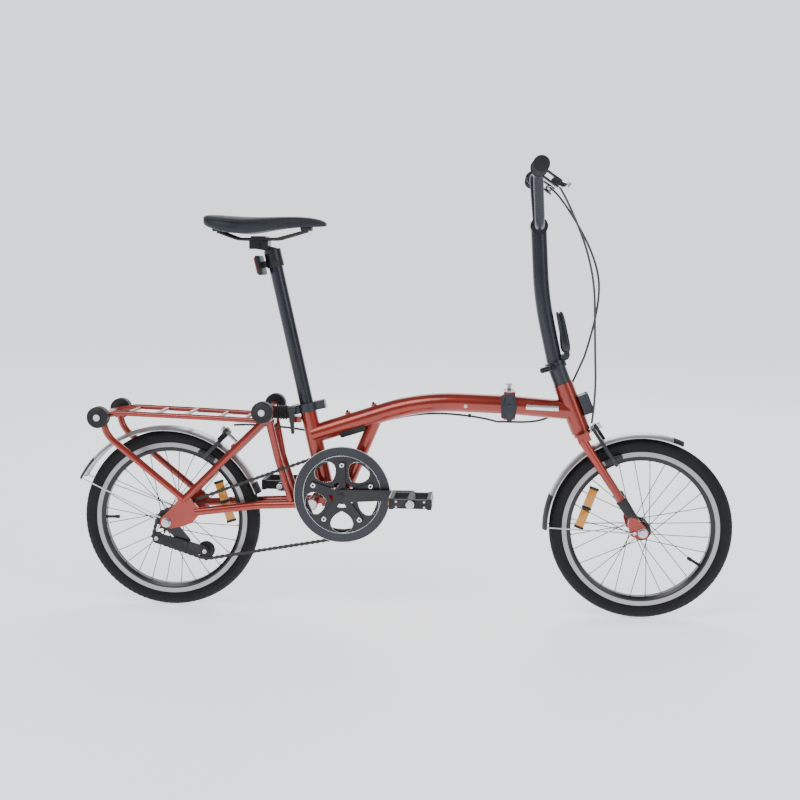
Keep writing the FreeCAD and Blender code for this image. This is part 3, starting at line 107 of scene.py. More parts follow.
class Socket:
    """A node's output that takes part in arithmetic."""

    def __init__(self, shade, link):
        self.shade = shade
        self.link = link

    def math(self, operation, *others):
        return self.shade.node("ShaderNodeMath", {"operation": operation}, *((self,) + others))

    def __add__(self, other):
        return self.math("ADD", other)

    def __sub__(self, other):
        return self.math("SUBTRACT", other)

    def __mul__(self, other):
        return self.math("MULTIPLY", other)

    def __pow__(self, other):
        return self.math("POWER", other)

    def __rsub__(self, other):
        return self.shade.node("ShaderNodeMath", {"operation": "SUBTRACT"}, other, self)

    __radd__ = __add__
    __rmul__ = __mul__

    def between(self, low, high):
        """0 below low, 1 above high and smooth in between."""
        settings = {"interpolation_type": "SMOOTHSTEP"}
        return self.shade.node("ShaderNodeMapRange", settings, self, low, high, 0.0, 1.0)


class Shade:
    """One material and the nodes in it."""

    def __init__(self, name, **shader):
        self.material = bpy.data.materials.new(name)
        self.material.use_nodes = True
        self.tree = self.material.node_tree
        self.shader = self.tree.nodes["Principled BSDF"]
        for socket, setting in shader.items():
            self.put(socket.replace("_", " ").title().replace("Ior", "IOR"), setting)
        self.where = self.node("ShaderNodeTexCoord", {}, output="Object")

    def node(self, kind, settings, *values, output=0, **named):
        """The one way a node is made: its settings first, then what its sockets take."""
        made = self.tree.nodes.new(kind)
        for key, setting in settings.items():
            setattr(made, key, setting)
        for key, value in list(enumerate(values)) + list(named.items()):
            self.join(made.inputs[key], value)
        return Socket(self, made.outputs[output])

    def join(self, socket, value):
        """Links or sets one socket; a colour may leave out its alpha, and None leaves the socket alone."""
        if isinstance(value, Socket):
            self.tree.links.new(value.link, socket)
        elif value is not None:
            opaque = socket.type == "RGBA" and len(value) == 3
            socket.default_value = (*value, 1) if opaque else value

    def put(self, socket, value):
        """Sets or feeds one of the shader's own sockets."""
        self.join(self.shader.inputs[socket], value)

    def noise(self, scale, detail=3.0, rough=0.5, where=None, stretch=None):
        """Cloudy grain between 0 and 1."""
        where = where or self.where
        if stretch:
            where = self.node("ShaderNodeVectorMath", {"operation": "MULTIPLY"}, where, stretch)
        return self.node("ShaderNodeTexNoise", {}, Vector=where, Scale=scale, Detail=detail, Roughness=rough)

    def mix(self, factor, first, second):
        """A colour between two colours."""
        unused = [None] * 5
        return self.node("ShaderNodeMix", {"data_type": "RGBA"}, factor, *unused, first, second, output=2)

    def relief(self, height, strength, distance):
        """Bumps by a height, no deeper than a distance in metres."""
        bump = self.node("ShaderNodeBump", {}, Strength=strength, Distance=distance, Height=height)
        self.put("Normal", bump)

    def edge_wear(self, low=0.52, high=0.6):
        """1 along worn outer edges."""
        pointy = self.node("ShaderNodeNewGeometry", {}, output="Pointiness")
        return pointy.between(low, high)

    def split(self):
        """The three parts of a place on the surface."""
        made = self.node("ShaderNodeSeparateXYZ", {}, self.where)
        return [Socket(self, out) for out in made.link.node.outputs]


def metallic_paint(name, colour, flake=0.55, rough=0.3):
    """Lacquer over metal flakes, with faint ripple, dust and rubbed edges."""
    shade = Shade(name, metallic=flake, coat_weight=0.9, coat_roughness=0.06, coat_ior=1.5)
    cloud = shade.noise(9.0, 4.0)
    flakes = shade.noise(2600.0, 1.0)
    dark = tuple(part * 0.72 for part in colour)
    light = tuple(min(1, part * 1.25 + 0.01) for part in colour)
    base = shade.mix((cloud * 0.5 + flakes * 0.5).between(0.3, 0.7), dark, light)
    worn = shade.edge_wear(0.62, 0.74) * shade.noise(140.0).between(0.52, 0.64)
    shade.put("Base Color", shade.mix(worn * 0.35, base, (0.3, 0.2, 0.17)))
    shade.put("Roughness", shade.noise(35.0, 4.0) * 0.12 + (rough - 0.06))
    shade.relief(shade.noise(420.0, 1.0) * 0.4 + flakes * 0.08, 0.05, 0.0004)
    return shade.material


def satin_black(name, colour, rough=0.38, metal=0.0, grain=900.0):
    """Powder coat: fine pebbled grain, uneven sheen and greyer edges."""
    shade = Shade(name, metallic=metal, coat_weight=0.25, coat_roughness=0.3)
    cloud = shade.noise(14.0, 5.0)
    pale = tuple(part * 1.35 + 0.002 for part in colour)
    worn = shade.edge_wear(0.6, 0.74) * shade.noise(120.0).between(0.5, 0.66)
    base = shade.mix(cloud.between(0.35, 0.75), colour, pale)
    shade.put("Base Color", shade.mix(worn * 0.35, base, (0.12, 0.12, 0.13)))
    shade.put("Roughness", shade.noise(60.0, 4.0) * 0.12 + (rough - 0.06))
    shade.relief(shade.noise(grain, 2.0), 0.08, 0.0004)
    return shade.material


def bare_metal(name, colour, rough, stretch=(1.0, 1.0, 1.0), grain=420.0, grime=0.35):
    """Brushed or polished metal with fine scratches and grime away from the edges."""
    shade = Shade(name, metallic=1.0)
    brushed = shade.noise(grain, 4.0, 0.6, stretch=stretch)
    spots = shade.noise(26.0, 6.0, 0.6).between(0.52, 0.78)
    dull = tuple(part * 0.45 for part in colour)
    base = shade.mix(spots * grime, colour, dull)
    bright = tuple(min(1, part * 1.35 + 0.03) for part in colour)
    shade.put("Base Color", shade.mix(shade.edge_wear(0.54, 0.62) * 0.4, base, bright))
    shade.put("Roughness", brushed * 0.2 + spots * 0.18 + (rough - 0.08))
    shade.relief(brushed, 0.1, 0.0003)
    return shade.material


def rubber(name, colour, rough=0.7, grain=700.0, dust=(0.12, 0.11, 0.1)):
    """Rubber or moulded plastic with a fine grain and patches of dust."""
    shade = Shade(name, specular_ior_level=0.35)
    patch = shade.noise(30.0, 5.0, 0.6)
    base = shade.mix(patch.between(0.45, 0.85) * 0.35, colour, dust)
    shade.put("Base Color", base)
    shade.put("Roughness", patch * 0.25 + (rough - 0.12))
    shade.relief(shade.noise(grain, 3.0), 0.15, 0.0004)
    return shade.material


def tyre_rubber(name, axle):
    """Tyre: ribbed sides, a dusty crown and a fine diamond cut across the tread."""
    shade = Shade(name, specular_ior_level=0.3)
    x, y, z = shade.split()
    dx, dz = x - axle.x, z - axle.z
    radius = (dx * dx + dz * dz) ** 0.5
    turn = shade.node("ShaderNodeMath", {"operation": "ARCTAN2"}, dz, dx)
    crown = radius.between(0.198, 0.206)
    rising = (turn * 130.0 + y * 900.0).math("SINE")
    falling = (turn * 130.0 - y * 900.0).math("SINE")
    cut = (rising * falling).between(-0.2, 0.3)
    ribs = (radius * 5200.0).math("SINE")
    side = 1.0 - crown
    dust = shade.noise(40.0, 6.0, 0.65).between(0.45, 0.8)
    base = shade.mix(dust * (crown * 0.5 + 0.25), (0.006, 0.006, 0.0065), (0.03, 0.028, 0.026))
    shade.put("Base Color", base)
    shade.put("Roughness", shade.noise(160.0, 3.0) * 0.2 + 0.55)
    shade.relief(crown * cut + side * ribs * 0.18 + shade.noise(600.0) * 0.12, 0.5, 0.0009)
    return shade.material


def rim_metal(name, axle):
    """Rim: turned brake tracks in a black anodised body."""
    shade = Shade(name)
    x, _, z = shade.split()
    dx, dz = x - axle.x, z - axle.z
    radius = (dx * dx + dz * dz) ** 0.5
    track = radius.between(0.1698, 0.1702)
    rings = shade.noise(1.0, 3.0, 0.6, where=shade.node("ShaderNodeCombineXYZ", {}, radius * 2600.0))
    shade.put("Base Color", shade.mix(track, (0.012, 0.012, 0.014), (0.42, 0.41, 0.41)))
    shade.put("Metallic", track * 0.9 + 0.1)
    shade.put("Roughness", rings * 0.25 * track + 0.26)
    shade.relief(rings, 0.12, 0.0003)
    return shade.material


def clear_plastic(name, colour):
    """Reflector plastic with the cube pattern behind its face."""
    shade = Shade(name, roughness=0.12, coat_weight=0.6, coat_roughness=0.05, specular_ior_level=0.7)
    x, _, z = shade.split()
    cells = ((x * 2400.0).math("SINE") * (z * 2400.0).math("SINE")).between(-0.4, 0.5)
    dark = tuple(part * 0.45 for part in colour)
    shade.put("Base Color", shade.mix(cells, dark, colour))
    shade.relief(cells, 0.3, 0.0006)
    return shade.material


def pale_floor(name, glow):
    """Matt studio paper with a faint mottle, lit a little from itself."""
    shade = Shade(name, emission_color=(0.93, 0.95, 1.0), emission_strength=glow)
    shade.put("Base Color", shade.mix(shade.noise(3.0), (0.84, 0.85, 0.87), (0.88, 0.89, 0.9)))
    shade.put("Roughness", shade.noise(20.0) * 0.1 + 0.5)
    return shade.material


def leather(name, colour, rough=0.45):
    """Synthetic saddle leather: pebbled grain, soft creases and patches of shine."""
    shade = Shade(name, sheen_weight=0.12, specular_ior_level=0.45)
    pebble = shade.node("ShaderNodeTexVoronoi", {"feature": "DISTANCE_TO_EDGE"}, Vector=shade.where,
                        Scale=520.0)
    crease = shade.noise(28.0, 6.0, 0.6)
    base = shade.mix(crease.between(0.35, 0.75), colour, tuple(part * 1.7 + 0.002 for part in colour))
    shade.put("Base Color", shade.mix(pebble.between(0.0, 0.12), tuple(part * 0.5 for part in colour), base))
    shade.put("Roughness", crease * 0.22 + (rough - 0.1))
    shade.relief(pebble.between(0.0, 0.35) + crease * 0.6, 0.22, 0.0006)
    return shade.material


FINISH = {}


def make_finishes(looks):
    """Every finish of the bicycle, by its plain name."""
    paint, black = tuple(looks.frame_colour), tuple(looks.black_colour)
    FINISH.update({
        "frame_paint": metallic_paint("frame_paint", paint),
        "black_paint": satin_black("black_paint", black),
        "post_black": satin_black("post_black", black, 0.27, 0.25, 1400.0),
        "anodised": satin_black("black_anodised", (0.012, 0.0125, 0.015), 0.3, 0.4, 1600.0),
        "bright_steel": bare_metal("bright_steel", (0.6, 0.6, 0.61), 0.24),
        "spoke_steel": bare_metal("spoke_steel", (0.03, 0.03, 0.032), 0.5),
        "dark_steel": bare_metal("dark_steel", (0.045, 0.042, 0.04), 0.42, grime=0.7),
        "satin_alloy": bare_metal("satin_alloy", (0.62, 0.63, 0.64), 0.34, (1.0, 6.0, 1.0), 260.0),
        "fender_alloy": bare_metal("fender_alloy", (0.58, 0.59, 0.61), 0.3, (1.0, 9.0, 1.0), 180.0, 0.2),
        "polished_alloy": bare_metal("polished_alloy", (0.78, 0.78, 0.79), 0.16, grime=0.15),
        "bronze": bare_metal("bronze", (0.32, 0.2, 0.09), 0.34, grime=0.6),
        "black_plastic": rubber("black_plastic", (0.014, 0.014, 0.015), 0.5),
        "soft_rubber": rubber("soft_rubber", (0.016, 0.016, 0.017), 0.72, 900.0),
        "foam_grip": rubber("foam_grip", (0.02, 0.02, 0.022), 0.88, 1300.0, (0.06, 0.06, 0.06)),
        "bellows_rubber": rubber("bellows_rubber", (0.012, 0.012, 0.012), 0.55),
        "cable_cover": rubber("cable_cover", (0.05, 0.052, 0.056), 0.34, 500.0, (0.09, 0.09, 0.09)),
        "front_tyre": tyre_rubber("front_tyre_rubber", FRONT_AXLE),
        "rear_tyre": tyre_rubber("rear_tyre_rubber", REAR_AXLE),
        "front_rim": rim_metal("front_rim_metal", FRONT_AXLE),
        "rear_rim": rim_metal("rear_rim_metal", REAR_AXLE),
        "amber": clear_plastic("amber_plastic", (0.95, 0.36, 0.008)),
        "red_lens": clear_plastic("red_lens", (0.5, 0.008, 0.006)),
        "white_mark": rubber("white_mark", (0.75, 0.75, 0.73), 0.4),
        "saddle_leather": leather("saddle_leather", tuple(looks.saddle_colour)),
        "floor": pale_floor("floor", looks.floor_glow),
        "stitching": rubber("stitching", (0.05, 0.052, 0.06), 0.7, 2000.0),
    })


NODE_FINISH = {
    "frame_paint": ("main_frame", "front_frame", "rear_frame", "fork", "headset_cups"),
    "post_black": ("seatpost", "handlepost", "handlebar"),
    "anodised": ("crank_arm_right", "crank_arm_left", "chainring", "saddle_clamp", "front_hub", "rear_hub",
                 "rear_brake_arm_left", "rear_brake_arm_right", "front_brake_arm_left",
                 "front_brake_arm_right", "seat_clamp_lever", "tensioner_bracket"),
    "black_paint": ("handlepost_base", "chain_guard", "seat_clamp", "hinge_clamp_plate",
                    "hinge_clamp_lever", "luggage_block", "handlepost_latch", "brake_lever_mounts"),
    "spoke_steel": ("front_spokes", "rear_spokes"),
    "bright_steel": ("crank_axles", "frame_pivot_pins", "front_axle", "rear_fasteners"),
    "dark_steel": ("saddle_rails", "rear_sprocket", "bottom_bracket_cartridge", "chain"),
    "fender_alloy": ("front_fender", "rear_fender"),
    "polished_alloy": ("brake_lever_left", "brake_lever_right"),
    "black_plastic": ("jockey_wheel", "guide_wheel", "front_rollers", "rear_rollers", "pedal_left",
                      "pedal_right", "tensioner_arm"),
    "front_tyre": ("front_tyre",), "rear_tyre": ("rear_tyre",),
    "front_rim": ("front_rim",), "rear_rim": ("rear_rim",),
    "soft_rubber": ("grips",), "bellows_rubber": ("suspension_bellows",),
    "saddle_leather": ("saddle",),
    "cable_cover": ("bar_cables", "head_cable", "hinge_cable", "rear_cable"),
}


def finish_nodes(looks):
    """Gives each CAD node its finish."""
    for finish, nodes in NODE_FINISH.items():
        for node in nodes:
            repaint(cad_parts[node], finish)


def repaint(item, finish):
    """Puts a finish in every material slot of a node."""
    if not item.material_slots:
        item.data.materials.append(None)
    for slot in item.material_slots:
        slot.material = FINISH[finish]


# ---------------------------------------------------------------- mesh making

def facing(axis):
    """The turn that takes Z to an axis."""
    return Vector(axis).to_track_quat("Z", "Y").to_matrix()


def basis(first, second):
    """The turn that takes X to first and Y near to second."""
    first = Vector(first).normalized()
    third = first.cross(Vector(second)).normalized()
    return Matrix((first, third.cross(first), third)).transposed()


class Maker:
    """Gathers the solids of one piece in one mesh."""

    def __init__(self):
        self.mesh = bmesh.new()

    def box(self, size, centre, turn=None, bevel=0.0006):
        """Block with rounded edges."""
        corners = bmesh.ops.create_cube(self.mesh, size=1.0)["verts"]
        turned = (turn or Matrix.Identity(3)).to_4x4()
        matrix = Matrix.Translation(centre) @ turned @ Matrix.Diagonal((*size, 1))
        bmesh.ops.transform(self.mesh, matrix=matrix, verts=corners)
        edges = list({edge for corner in corners for edge in corner.link_edges})
        bmesh.ops.bevel(self.mesh, geom=edges, offset=bevel, segments=2, affect="EDGES", profile=0.5)

    def lathe(self, profile, centre, axis, segments=32):
        """Turned solid; the profile is (radius, place along the axis) and starts and ends anywhere."""
        turn = facing(axis)
        rings = []
        for radius, along in profile:
            if radius < 1e-7:
                rings.append([self.mesh.verts.new(centre + turn @ Vector((0, 0, along)))])
                continue
            ring = []
            for index in range(segments):
                angle = 2 * math.pi * index / segments
                spot = Vector((radius * math.cos(angle), radius * math.sin(angle), along))
                ring.append(self.mesh.verts.new(centre + turn @ spot))
            rings.append(ring)
        for low, high in zip(rings, rings[1:]):
            self.bridge(low, high)

    def bridge(self, low, high):
        """Faces between two rings, either of which may be a single point."""
        count = max(len(low), len(high))
        for index in range(count):
            after = (index + 1) % count
            corners = [low[index % len(low)], low[after % len(low)], high[after % len(high)],
                       high[index % len(high)]]
            self.mesh.faces.new(list(dict.fromkeys(corners)))

    def rod(self, start, end, radius, segments=16, chamfer=0.0003):
        """Round bar between two points, with broken edges."""
        length = (end - start).length
        profile = [(0, 0), (radius - chamfer, 0), (radius, chamfer), (radius, length - chamfer),
                   (radius - chamfer, length), (0, length)]
        self.lathe(profile, start, end - start, segments)

    def hexagon(self, centre, axis, radius, height):
        """Six-sided head with a dished socket."""
        profile = [(0, 0), (radius, 0), (radius, height * 0.85), (radius * 0.86, height)]
        self.lathe(profile + [(radius * 0.5, height), (radius * 0.5, height * 0.5), (0, height * 0.5)],
                   centre, axis, 6)

    def ring(self, path, radius, segments=8, closed=True):
        """Round bar along a path of points."""
        rings = []
        count = len(path)
        for index, spot in enumerate(path):
            if closed:
                run = path[(index + 1) % count] - path[index - 1]
            else:
                run = path[min(index + 1, count - 1)] - path[max(index - 1, 0)]
            turn = basis(run, LEFT if abs(run.normalized().y) < 0.9 else UP)
            ring = []
            for step in range(segments):
                angle = 2 * math.pi * step / segments
                out = Vector((0, radius * math.cos(angle), radius * math.sin(angle)))
                ring.append(self.mesh.verts.new(spot + turn @ out))
            rings.append(ring)
        for low, high in zip(rings, rings[1:] + (rings[:1] if closed else [])):
            self.bridge(low, high)
        if not closed:
            self.mesh.faces.new(rings[0])
            self.mesh.faces.new(rings[-1])

    def grid(self, rows, thick=0.0, closed=False):
        """Sheet through rows of points, given a thickness along its normals."""
        before = set(self.mesh.faces)
        made = [[self.mesh.verts.new(spot) for spot in row] for row in rows]
        for low, high in zip(made, made[1:]):
            for index in range(len(low) - (0 if closed else 1)):
                after = (index + 1) % len(low)
                self.mesh.faces.new((low[index], low[after], high[after], high[index]))
        faces = [face for face in self.mesh.faces if face not in before]
        if thick:
            bmesh.ops.recalc_face_normals(self.mesh, faces=faces)
            bmesh.ops.solidify(self.mesh, geom=faces, thickness=thick)
        return made

    def done(self, name, finish, body=None, slot=None, angle=35, smooth=0):
        """Ends the mesh and puts it in the scene."""
        bmesh.ops.recalc_face_normals(self.mesh, faces=self.mesh.faces[:])
        data = bpy.data.meshes.new(name)
        self.mesh.to_mesh(data)
        self.mesh.free()
        return placed(name, data, finish, body, angle, smooth)


def placed(name, data, finish, body=None, angle=35, smooth=0):
    """Puts a mesh in the scene with its finish, on its body."""
    data.polygons.foreach_set("use_smooth", [True] * len(data.polygons))
    data.set_sharp_from_angle(angle=math.radians(angle))
    item = bpy.data.objects.new(name, data)
    bpy.context.collection.objects.link(item)
    data.materials.clear()
    data.materials.append(FINISH[finish])
    if smooth:
        item.modifiers.new("rounding", "SUBSURF").render_levels = smooth
        item.modifiers["rounding"].levels = smooth
    if body:
        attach(item, body)
    return item


def on_circle(centre, radius, angle, y=0.0):
    """Point at an angle in degrees round an axle, counted from straight ahead."""
    turn = math.radians(angle)
    return centre + Vector((math.cos(turn) * radius, y, math.sin(turn) * radius))


def even_points(line, step):
    """Points a step apart along a line of points, from its start."""
    spaced, spare = [line[0]], 0.0
    for before, after in zip(line, line[1:]):
        length = (after - before).length
        while length > 0 and length - spare >= step - 1e-9:
            spare += step
            spaced.append(before.lerp(after, spare / length))
        spare -= length
    return spaced


def smooth_line(points, step, closed=False):
    """Evenly spaced points along a smooth curve through a route's corners."""
    curve = bpy.data.curves.new("line", "CURVE")
    curve.dimensions = "3D"
    spline = curve.splines.new("NURBS")
    spline.points.add(len(points) - 1)
    for spot, corner in zip(spline.points, points):
        spot.co = (*corner, 1)
    spline.order_u = 3
    spline.use_cyclic_u = closed
    spline.use_endpoint_u = not closed
    spline.resolution_u = 24
    holder = bpy.data.objects.new("line", curve)
    bpy.context.collection.objects.link(holder)
    bpy.context.view_layer.update()
    dense = [vertex.co.copy() for vertex in bpy.data.meshes.new_from_object(holder).vertices]
    bpy.data.objects.remove(holder)
    if closed:
        dense.append(dense[0].copy())
    spaced = even_points(dense, step)
    if not closed and (spaced[-1] - dense[-1]).length > step * 0.1:
        spaced.append(dense[-1])
    return spaced


# ---------------------------------------------------------------- saddle and grips

# Across and up, as shares, from the middle of the top round to the middle of the underside.
SADDLE_SECTION = ((0.0, 0.985), (0.12, 1.0), (0.32, 0.995), (0.58, 0.955), (0.79, 0.85), (0.93, 0.67),
                  (1.0, 0.45), (0.995, 0.22), (0.965, 0.05), (0.91, 0.0), (0.85, 0.03), (0.62, 0.13),
                  (0.3, 0.17), (0.0, 0.18))
# Place along the bicycle, half width, top and lowest edge in millimetres, from the tail to the nose.
SADDLE_STATIONS = ((88, 34, 918, 905), (90, 50, 920, 900), (98, 63, 921, 893.5), (115, 71.5, 921, 888),
                   (135, 74.5, 920, 882.5), (155, 73, 918.8, 878.5), (178, 66, 917.6, 877.5),
                   (200, 54, 917, 879.5), (222, 42.5, 917, 883), (245, 33.5, 917.6, 887),
                   (272, 27, 918.4, 891), (300, 23, 918.6, 894), (328, 20, 917, 895), (350, 17.5, 913, 895.5),
                   (361, 14, 909, 896.5), (366, 8, 904, 898))


def saddle_point(station, u, v):
    """Point of the saddle's skin: u is across and v up, as shares of the section there."""
    x, half, top, low = station
    return place(x, half * u, low + (top - low) * v)


def make_saddle(looks):
    """Padded saddle with a seam and stitches round its top panel, and the sockets of its rails."""
    shape = Maker()
    loop = [(u, v) for u, v in SADDLE_SECTION] + [(-u, v) for u, v in SADDLE_SECTION[-2:0:-1]]
    rows = [[saddle_point(station, u, v) for u, v in loop] for station in SADDLE_STATIONS]
    made = shape.grid(rows, closed=True)
    for end in (made[0], made[-1]):
        spot = sum((corner.co for corner in end), Vector()) / len(end)
        tip = shape.mesh.verts.new(spot)
        for index, corner in enumerate(end):
            shape.mesh.faces.new((corner, end[(index + 1) % len(end)], tip))
    cover = shape.done("saddle_cover", "saddle_leather", None, "saddle_cover", 70, 2)
    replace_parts(cover, "saddle")
    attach(cover, "seatpost")
    seam, stitches = Maker(), Maker()
    line = [saddle_point(station, 0.952, 0.66) for station in SADDLE_STATIONS]
    line += [saddle_point(station, -0.952, 0.66) for station in reversed(SADDLE_STATIONS)]
    smooth = smooth_line(line, 0.0026, closed=True)
    seam.ring(smooth, 0.0009)
    for spot, after in list(zip(smooth, smooth[1:]))[::2]:
        lift = Vector((0, -0.0022 if spot.y > 0 else 0.0022, 0.0019))
        run = (after - spot).normalized() * 0.0016
        stitches.rod(spot + lift - run * 0.5, spot + lift + run * 0.5, 0.00045, 6, 0.0001)
    mounts = Maker()
    mounts.box((0.052, 0.026, 0.013), place(228, 0, 846), basis((1, 0, -0.25), LEFT), 0.004)
    mounts.rod(place(212, -19, 848), place(212, 19, 848), 0.0055, 20)
    mounts.box((0.022, 0.078, 0.012), place(119, 0, 889), None, 0.003)
    mounts.box((0.026, 0.030, 0.012), place(320, 0, 892), None, 0.003)
    mounts.done("saddle_rail_sockets", "black_plastic", "seatpost", "black_plastic")
    seam.done("saddle_seam", "saddle_leather", "seatpost", "saddle_cover", 60)
    stitches.done("saddle_stitches", "stitching", "seatpost", "saddle_cover", 60)


def make_grips(looks):
    """Foam grips with end collars, and rings pressed into them."""
    low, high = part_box("grips")
    bar = Vector(((low[0] + high[0]) / 2, 0, (low[2] + high[2]) / 2))
    for side_name, side in SIDES:
        start = bar + LEFT * side * (high[1] - GRIP_LENGTH)
        profile = [(0.0113, 0), (0.0182, 0), (0.0192, 0.0008), (0.0192, 0.0032), (0.0178, 0.0042)]
        for index in range(GRIP_RIBS):
            spot = 0.0055 + (GRIP_LENGTH - 0.012) * index / GRIP_RIBS
            swell = 0.0166 + 0.0006 * math.sin(math.pi * index / GRIP_RIBS)
            profile += [(swell, spot), (swell + 0.0006, spot + 0.0012), (swell, spot + 0.0024)]
        profile += [(0.0172, GRIP_LENGTH - 0.0045), (0.0168, GRIP_LENGTH - 0.0015),
                    (0.0145, GRIP_LENGTH - 0.0002), (0.004, GRIP_LENGTH), (0, GRIP_LENGTH)]
        shape = Maker()
        shape.lathe(profile, start, LEFT * side, 48)
        grip = shape.done("grip_" + side_name, "foam_grip", "handlepost", "soft_rubber", 60)
        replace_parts(grip, "grips")
        collar = Maker()
        collar.lathe([(0.0113, -0.005), (0.0146, -0.005), (0.0152, -0.0044), (0.0152, -0.0006),
                      (0.0146, 0), (0.0113, 0)], start, LEFT * side, 40)
        collar.done("grip_collar_" + side_name, "black_plastic", "handlepost", "soft_rubber")


# ---------------------------------------------------------------- chain

def pitch_radius(teeth):
    """Radius of the circle on which a toothed wheel carries the chain's pins."""
    return CHAIN_PITCH / 2 / math.sin(math.pi / teeth)


def chain_route():
    """Pitch points of the chain, link by link, round its four wheels."""
    y = middle("chain").y
    wheels = [(BRACKET, pitch_radius(CHAINRING_TEETH)), (REAR_AXLE, pitch_radius(SPROCKET_TEETH)),
              (middle("guide_wheel"), GUIDE_RADIUS), (middle("jockey_wheel"), JOCKEY_RADIUS)]
    wheels = [(Vector((spot.x, y, spot.z)), radius) for spot, radius in wheels]
    leaving = []
    for index, (spot, radius) in enumerate(wheels):
        after, after_radius = wheels[(index + 1) % 4]
        run = after - spot
        leaving.append(math.atan2(run.z, run.x) - math.acos((radius - after_radius) / run.length))
    route = []
    for index, (spot, radius) in enumerate(wheels):
        arrive = leaving[index - 1]
        sweep = (leaving[index] - arrive) % (2 * math.pi)
        steps = max(2, int(sweep * radius / 0.001))
        for step in range(steps + 1):
            angle = math.degrees(arrive + sweep * step / steps)
            route.append(on_circle(spot, radius, angle))
    total = sum((b - a).length for a, b in zip(route, route[1:] + route[:1]))
    count = 2 * round(total / CHAIN_PITCH / 2)
    return even_points(route + route[:1], total / count)[:count]


def link_plate(shape, start, end, y, thick, half):
    """Waisted side plate between two pins."""
    run = (end - start).normalized()
    rise = LEFT.cross(run)
    pitch = (end - start).length
    outline = []
    for centre, first in ((start, 90), (end, -90)):
        for step in range(7):
            angle = math.radians(first + 180 * step / 6)
            outline.append(centre + run * math.cos(angle) * half + rise * math.sin(angle) * half)
        waist = centre + run * (pitch / 2 if first == 90 else -pitch / 2)
        outline.append(waist + rise * half * (-0.62 if first == 90 else 0.62))
    near = [shape.mesh.verts.new(spot + LEFT * (y - thick / 2)) for spot in outline]
    far = [shape.mesh.verts.new(spot + LEFT * (y + thick / 2)) for spot in outline]
    shape.bridge(near, far)
    shape.mesh.faces.new(near)
    shape.mesh.faces.new(far)


def make_chain(looks):
    """Roller chain: inner and outer plates by turns, with pins and rollers."""
    route = chain_route()
    shape = Maker()
    for index, start in enumerate(route):
        end = route[(index + 1) % len(route)]
        level = 0.0026 if index % 2 else 0.0017
        for side in (-1, 1):
            link_plate(shape, start, end, side * level, PLATE_THICKNESS, PLATE_HALF_HEIGHT)
        shape.rod(start - LEFT * 0.0013, start + LEFT * 0.0013, ROLLER_RADIUS, 12)
        shape.rod(start - LEFT * 0.0033, start + LEFT * 0.0033, PIN_RADIUS, 8)
    chain = shape.done("chain_links", "dark_steel", None, "chain_steel", 40)
    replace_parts(chain, "chain")
    tuple(place(335, -44, 300))
    tuple(place(250, -44, 290))
    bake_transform(chain)


# ---------------------------------------------------------------- cables

def make_cable(name, points, radius, start, end):
    """Cable in its cover along a route."""
    route = smooth_line([place(*spot) for spot in points], 0.004)
    shape = Maker()
    shape.ring(route, radius, 12, closed=False)
    cable = shape.done(name, "cable_cover", None, "soft_rubber", 60)
    tuple(place(*start))
    tuple(place(*end))
    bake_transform(cable)
    return cable


LEVER_STOPS = {"right": (874.7, -128.4, 994.6), "left": (874.7, 128.4, 994.6)}
HEAD_JOIN, HINGE_FRONT, HINGE_REAR = (962, 30, 604), (820, 0, 453), (763, 0, 453)
ROUTES = (
    ("front_brake_cable", "bar_cables", "handlepost", "fork", (975, -35, 700), (982, -32, 560),
     (LEVER_STOPS["right"], (892, -92, 990), (974, -44, 812), (980, -34, 640), (986, -30, 520),
      (978.4, -25, 456.5))),
    ("rear_brake_cable_upper", "bar_cables", "handlepost", "fork", (990, 40, 760), (964, 30, 612),
     (LEVER_STOPS["left"], (892, 92, 991), (988, 50, 830), (996, 34, 715), HEAD_JOIN)),
    ("rear_brake_cable_head", "head_cable", "fork", "front_frame", (950, 30, 575), (912, 30, 500),
     (HEAD_JOIN, (938, 30.5, 545), (904, 30, 482), (872, 6, 454), HINGE_FRONT)),
    ("rear_brake_cable_hinge", "hinge_cable", "front_frame", "main_frame", (797, 0, 453), (785, 0, 453),
     (HINGE_FRONT, (805, 0, 453), (779, 0, 453), HINGE_REAR)),
    ("rear_brake_cable_rear", "rear_cable", "main_frame", "rear_frame", (300, 25, 424), (245, 15, 430),
     (HINGE_REAR, (722, 3, 464), (600, 20, 470), (487, 20, 445), (368, 25.5, 409), (300, 25.5, 424),
      (238, 13, 431), (170, 14, 434), (143.5, 24, 430))),
)


def make_cables(looks):
    """Brake cables along their routes, and the adjusters at the levers."""
    for name, node, first, last, start, end, points in ROUTES:
        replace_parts(make_cable(name, points, looks.cable_thickness / 2, start, end), node)
    for name, side in SIDES:
        spot = place(*LEVER_STOPS[name])
        way = Vector((0.42, -0.9 * side, -0.1)).normalized()
        shape = Maker()
        shape.lathe([(0.0026, 0.0), (0.0042, 0.0), (0.0046, 0.0008), (0.0046, 0.0052), (0.0036, 0.006),
                     (0.0036, 0.013), (0.0031, 0.0145), (0.0026, 0.0145)], spot - way * 0.001, way, 20)
        shape.done("adjuster_" + name, "satin_alloy", "handlepost", "alloy")


# ---------------------------------------------------------------- wheels

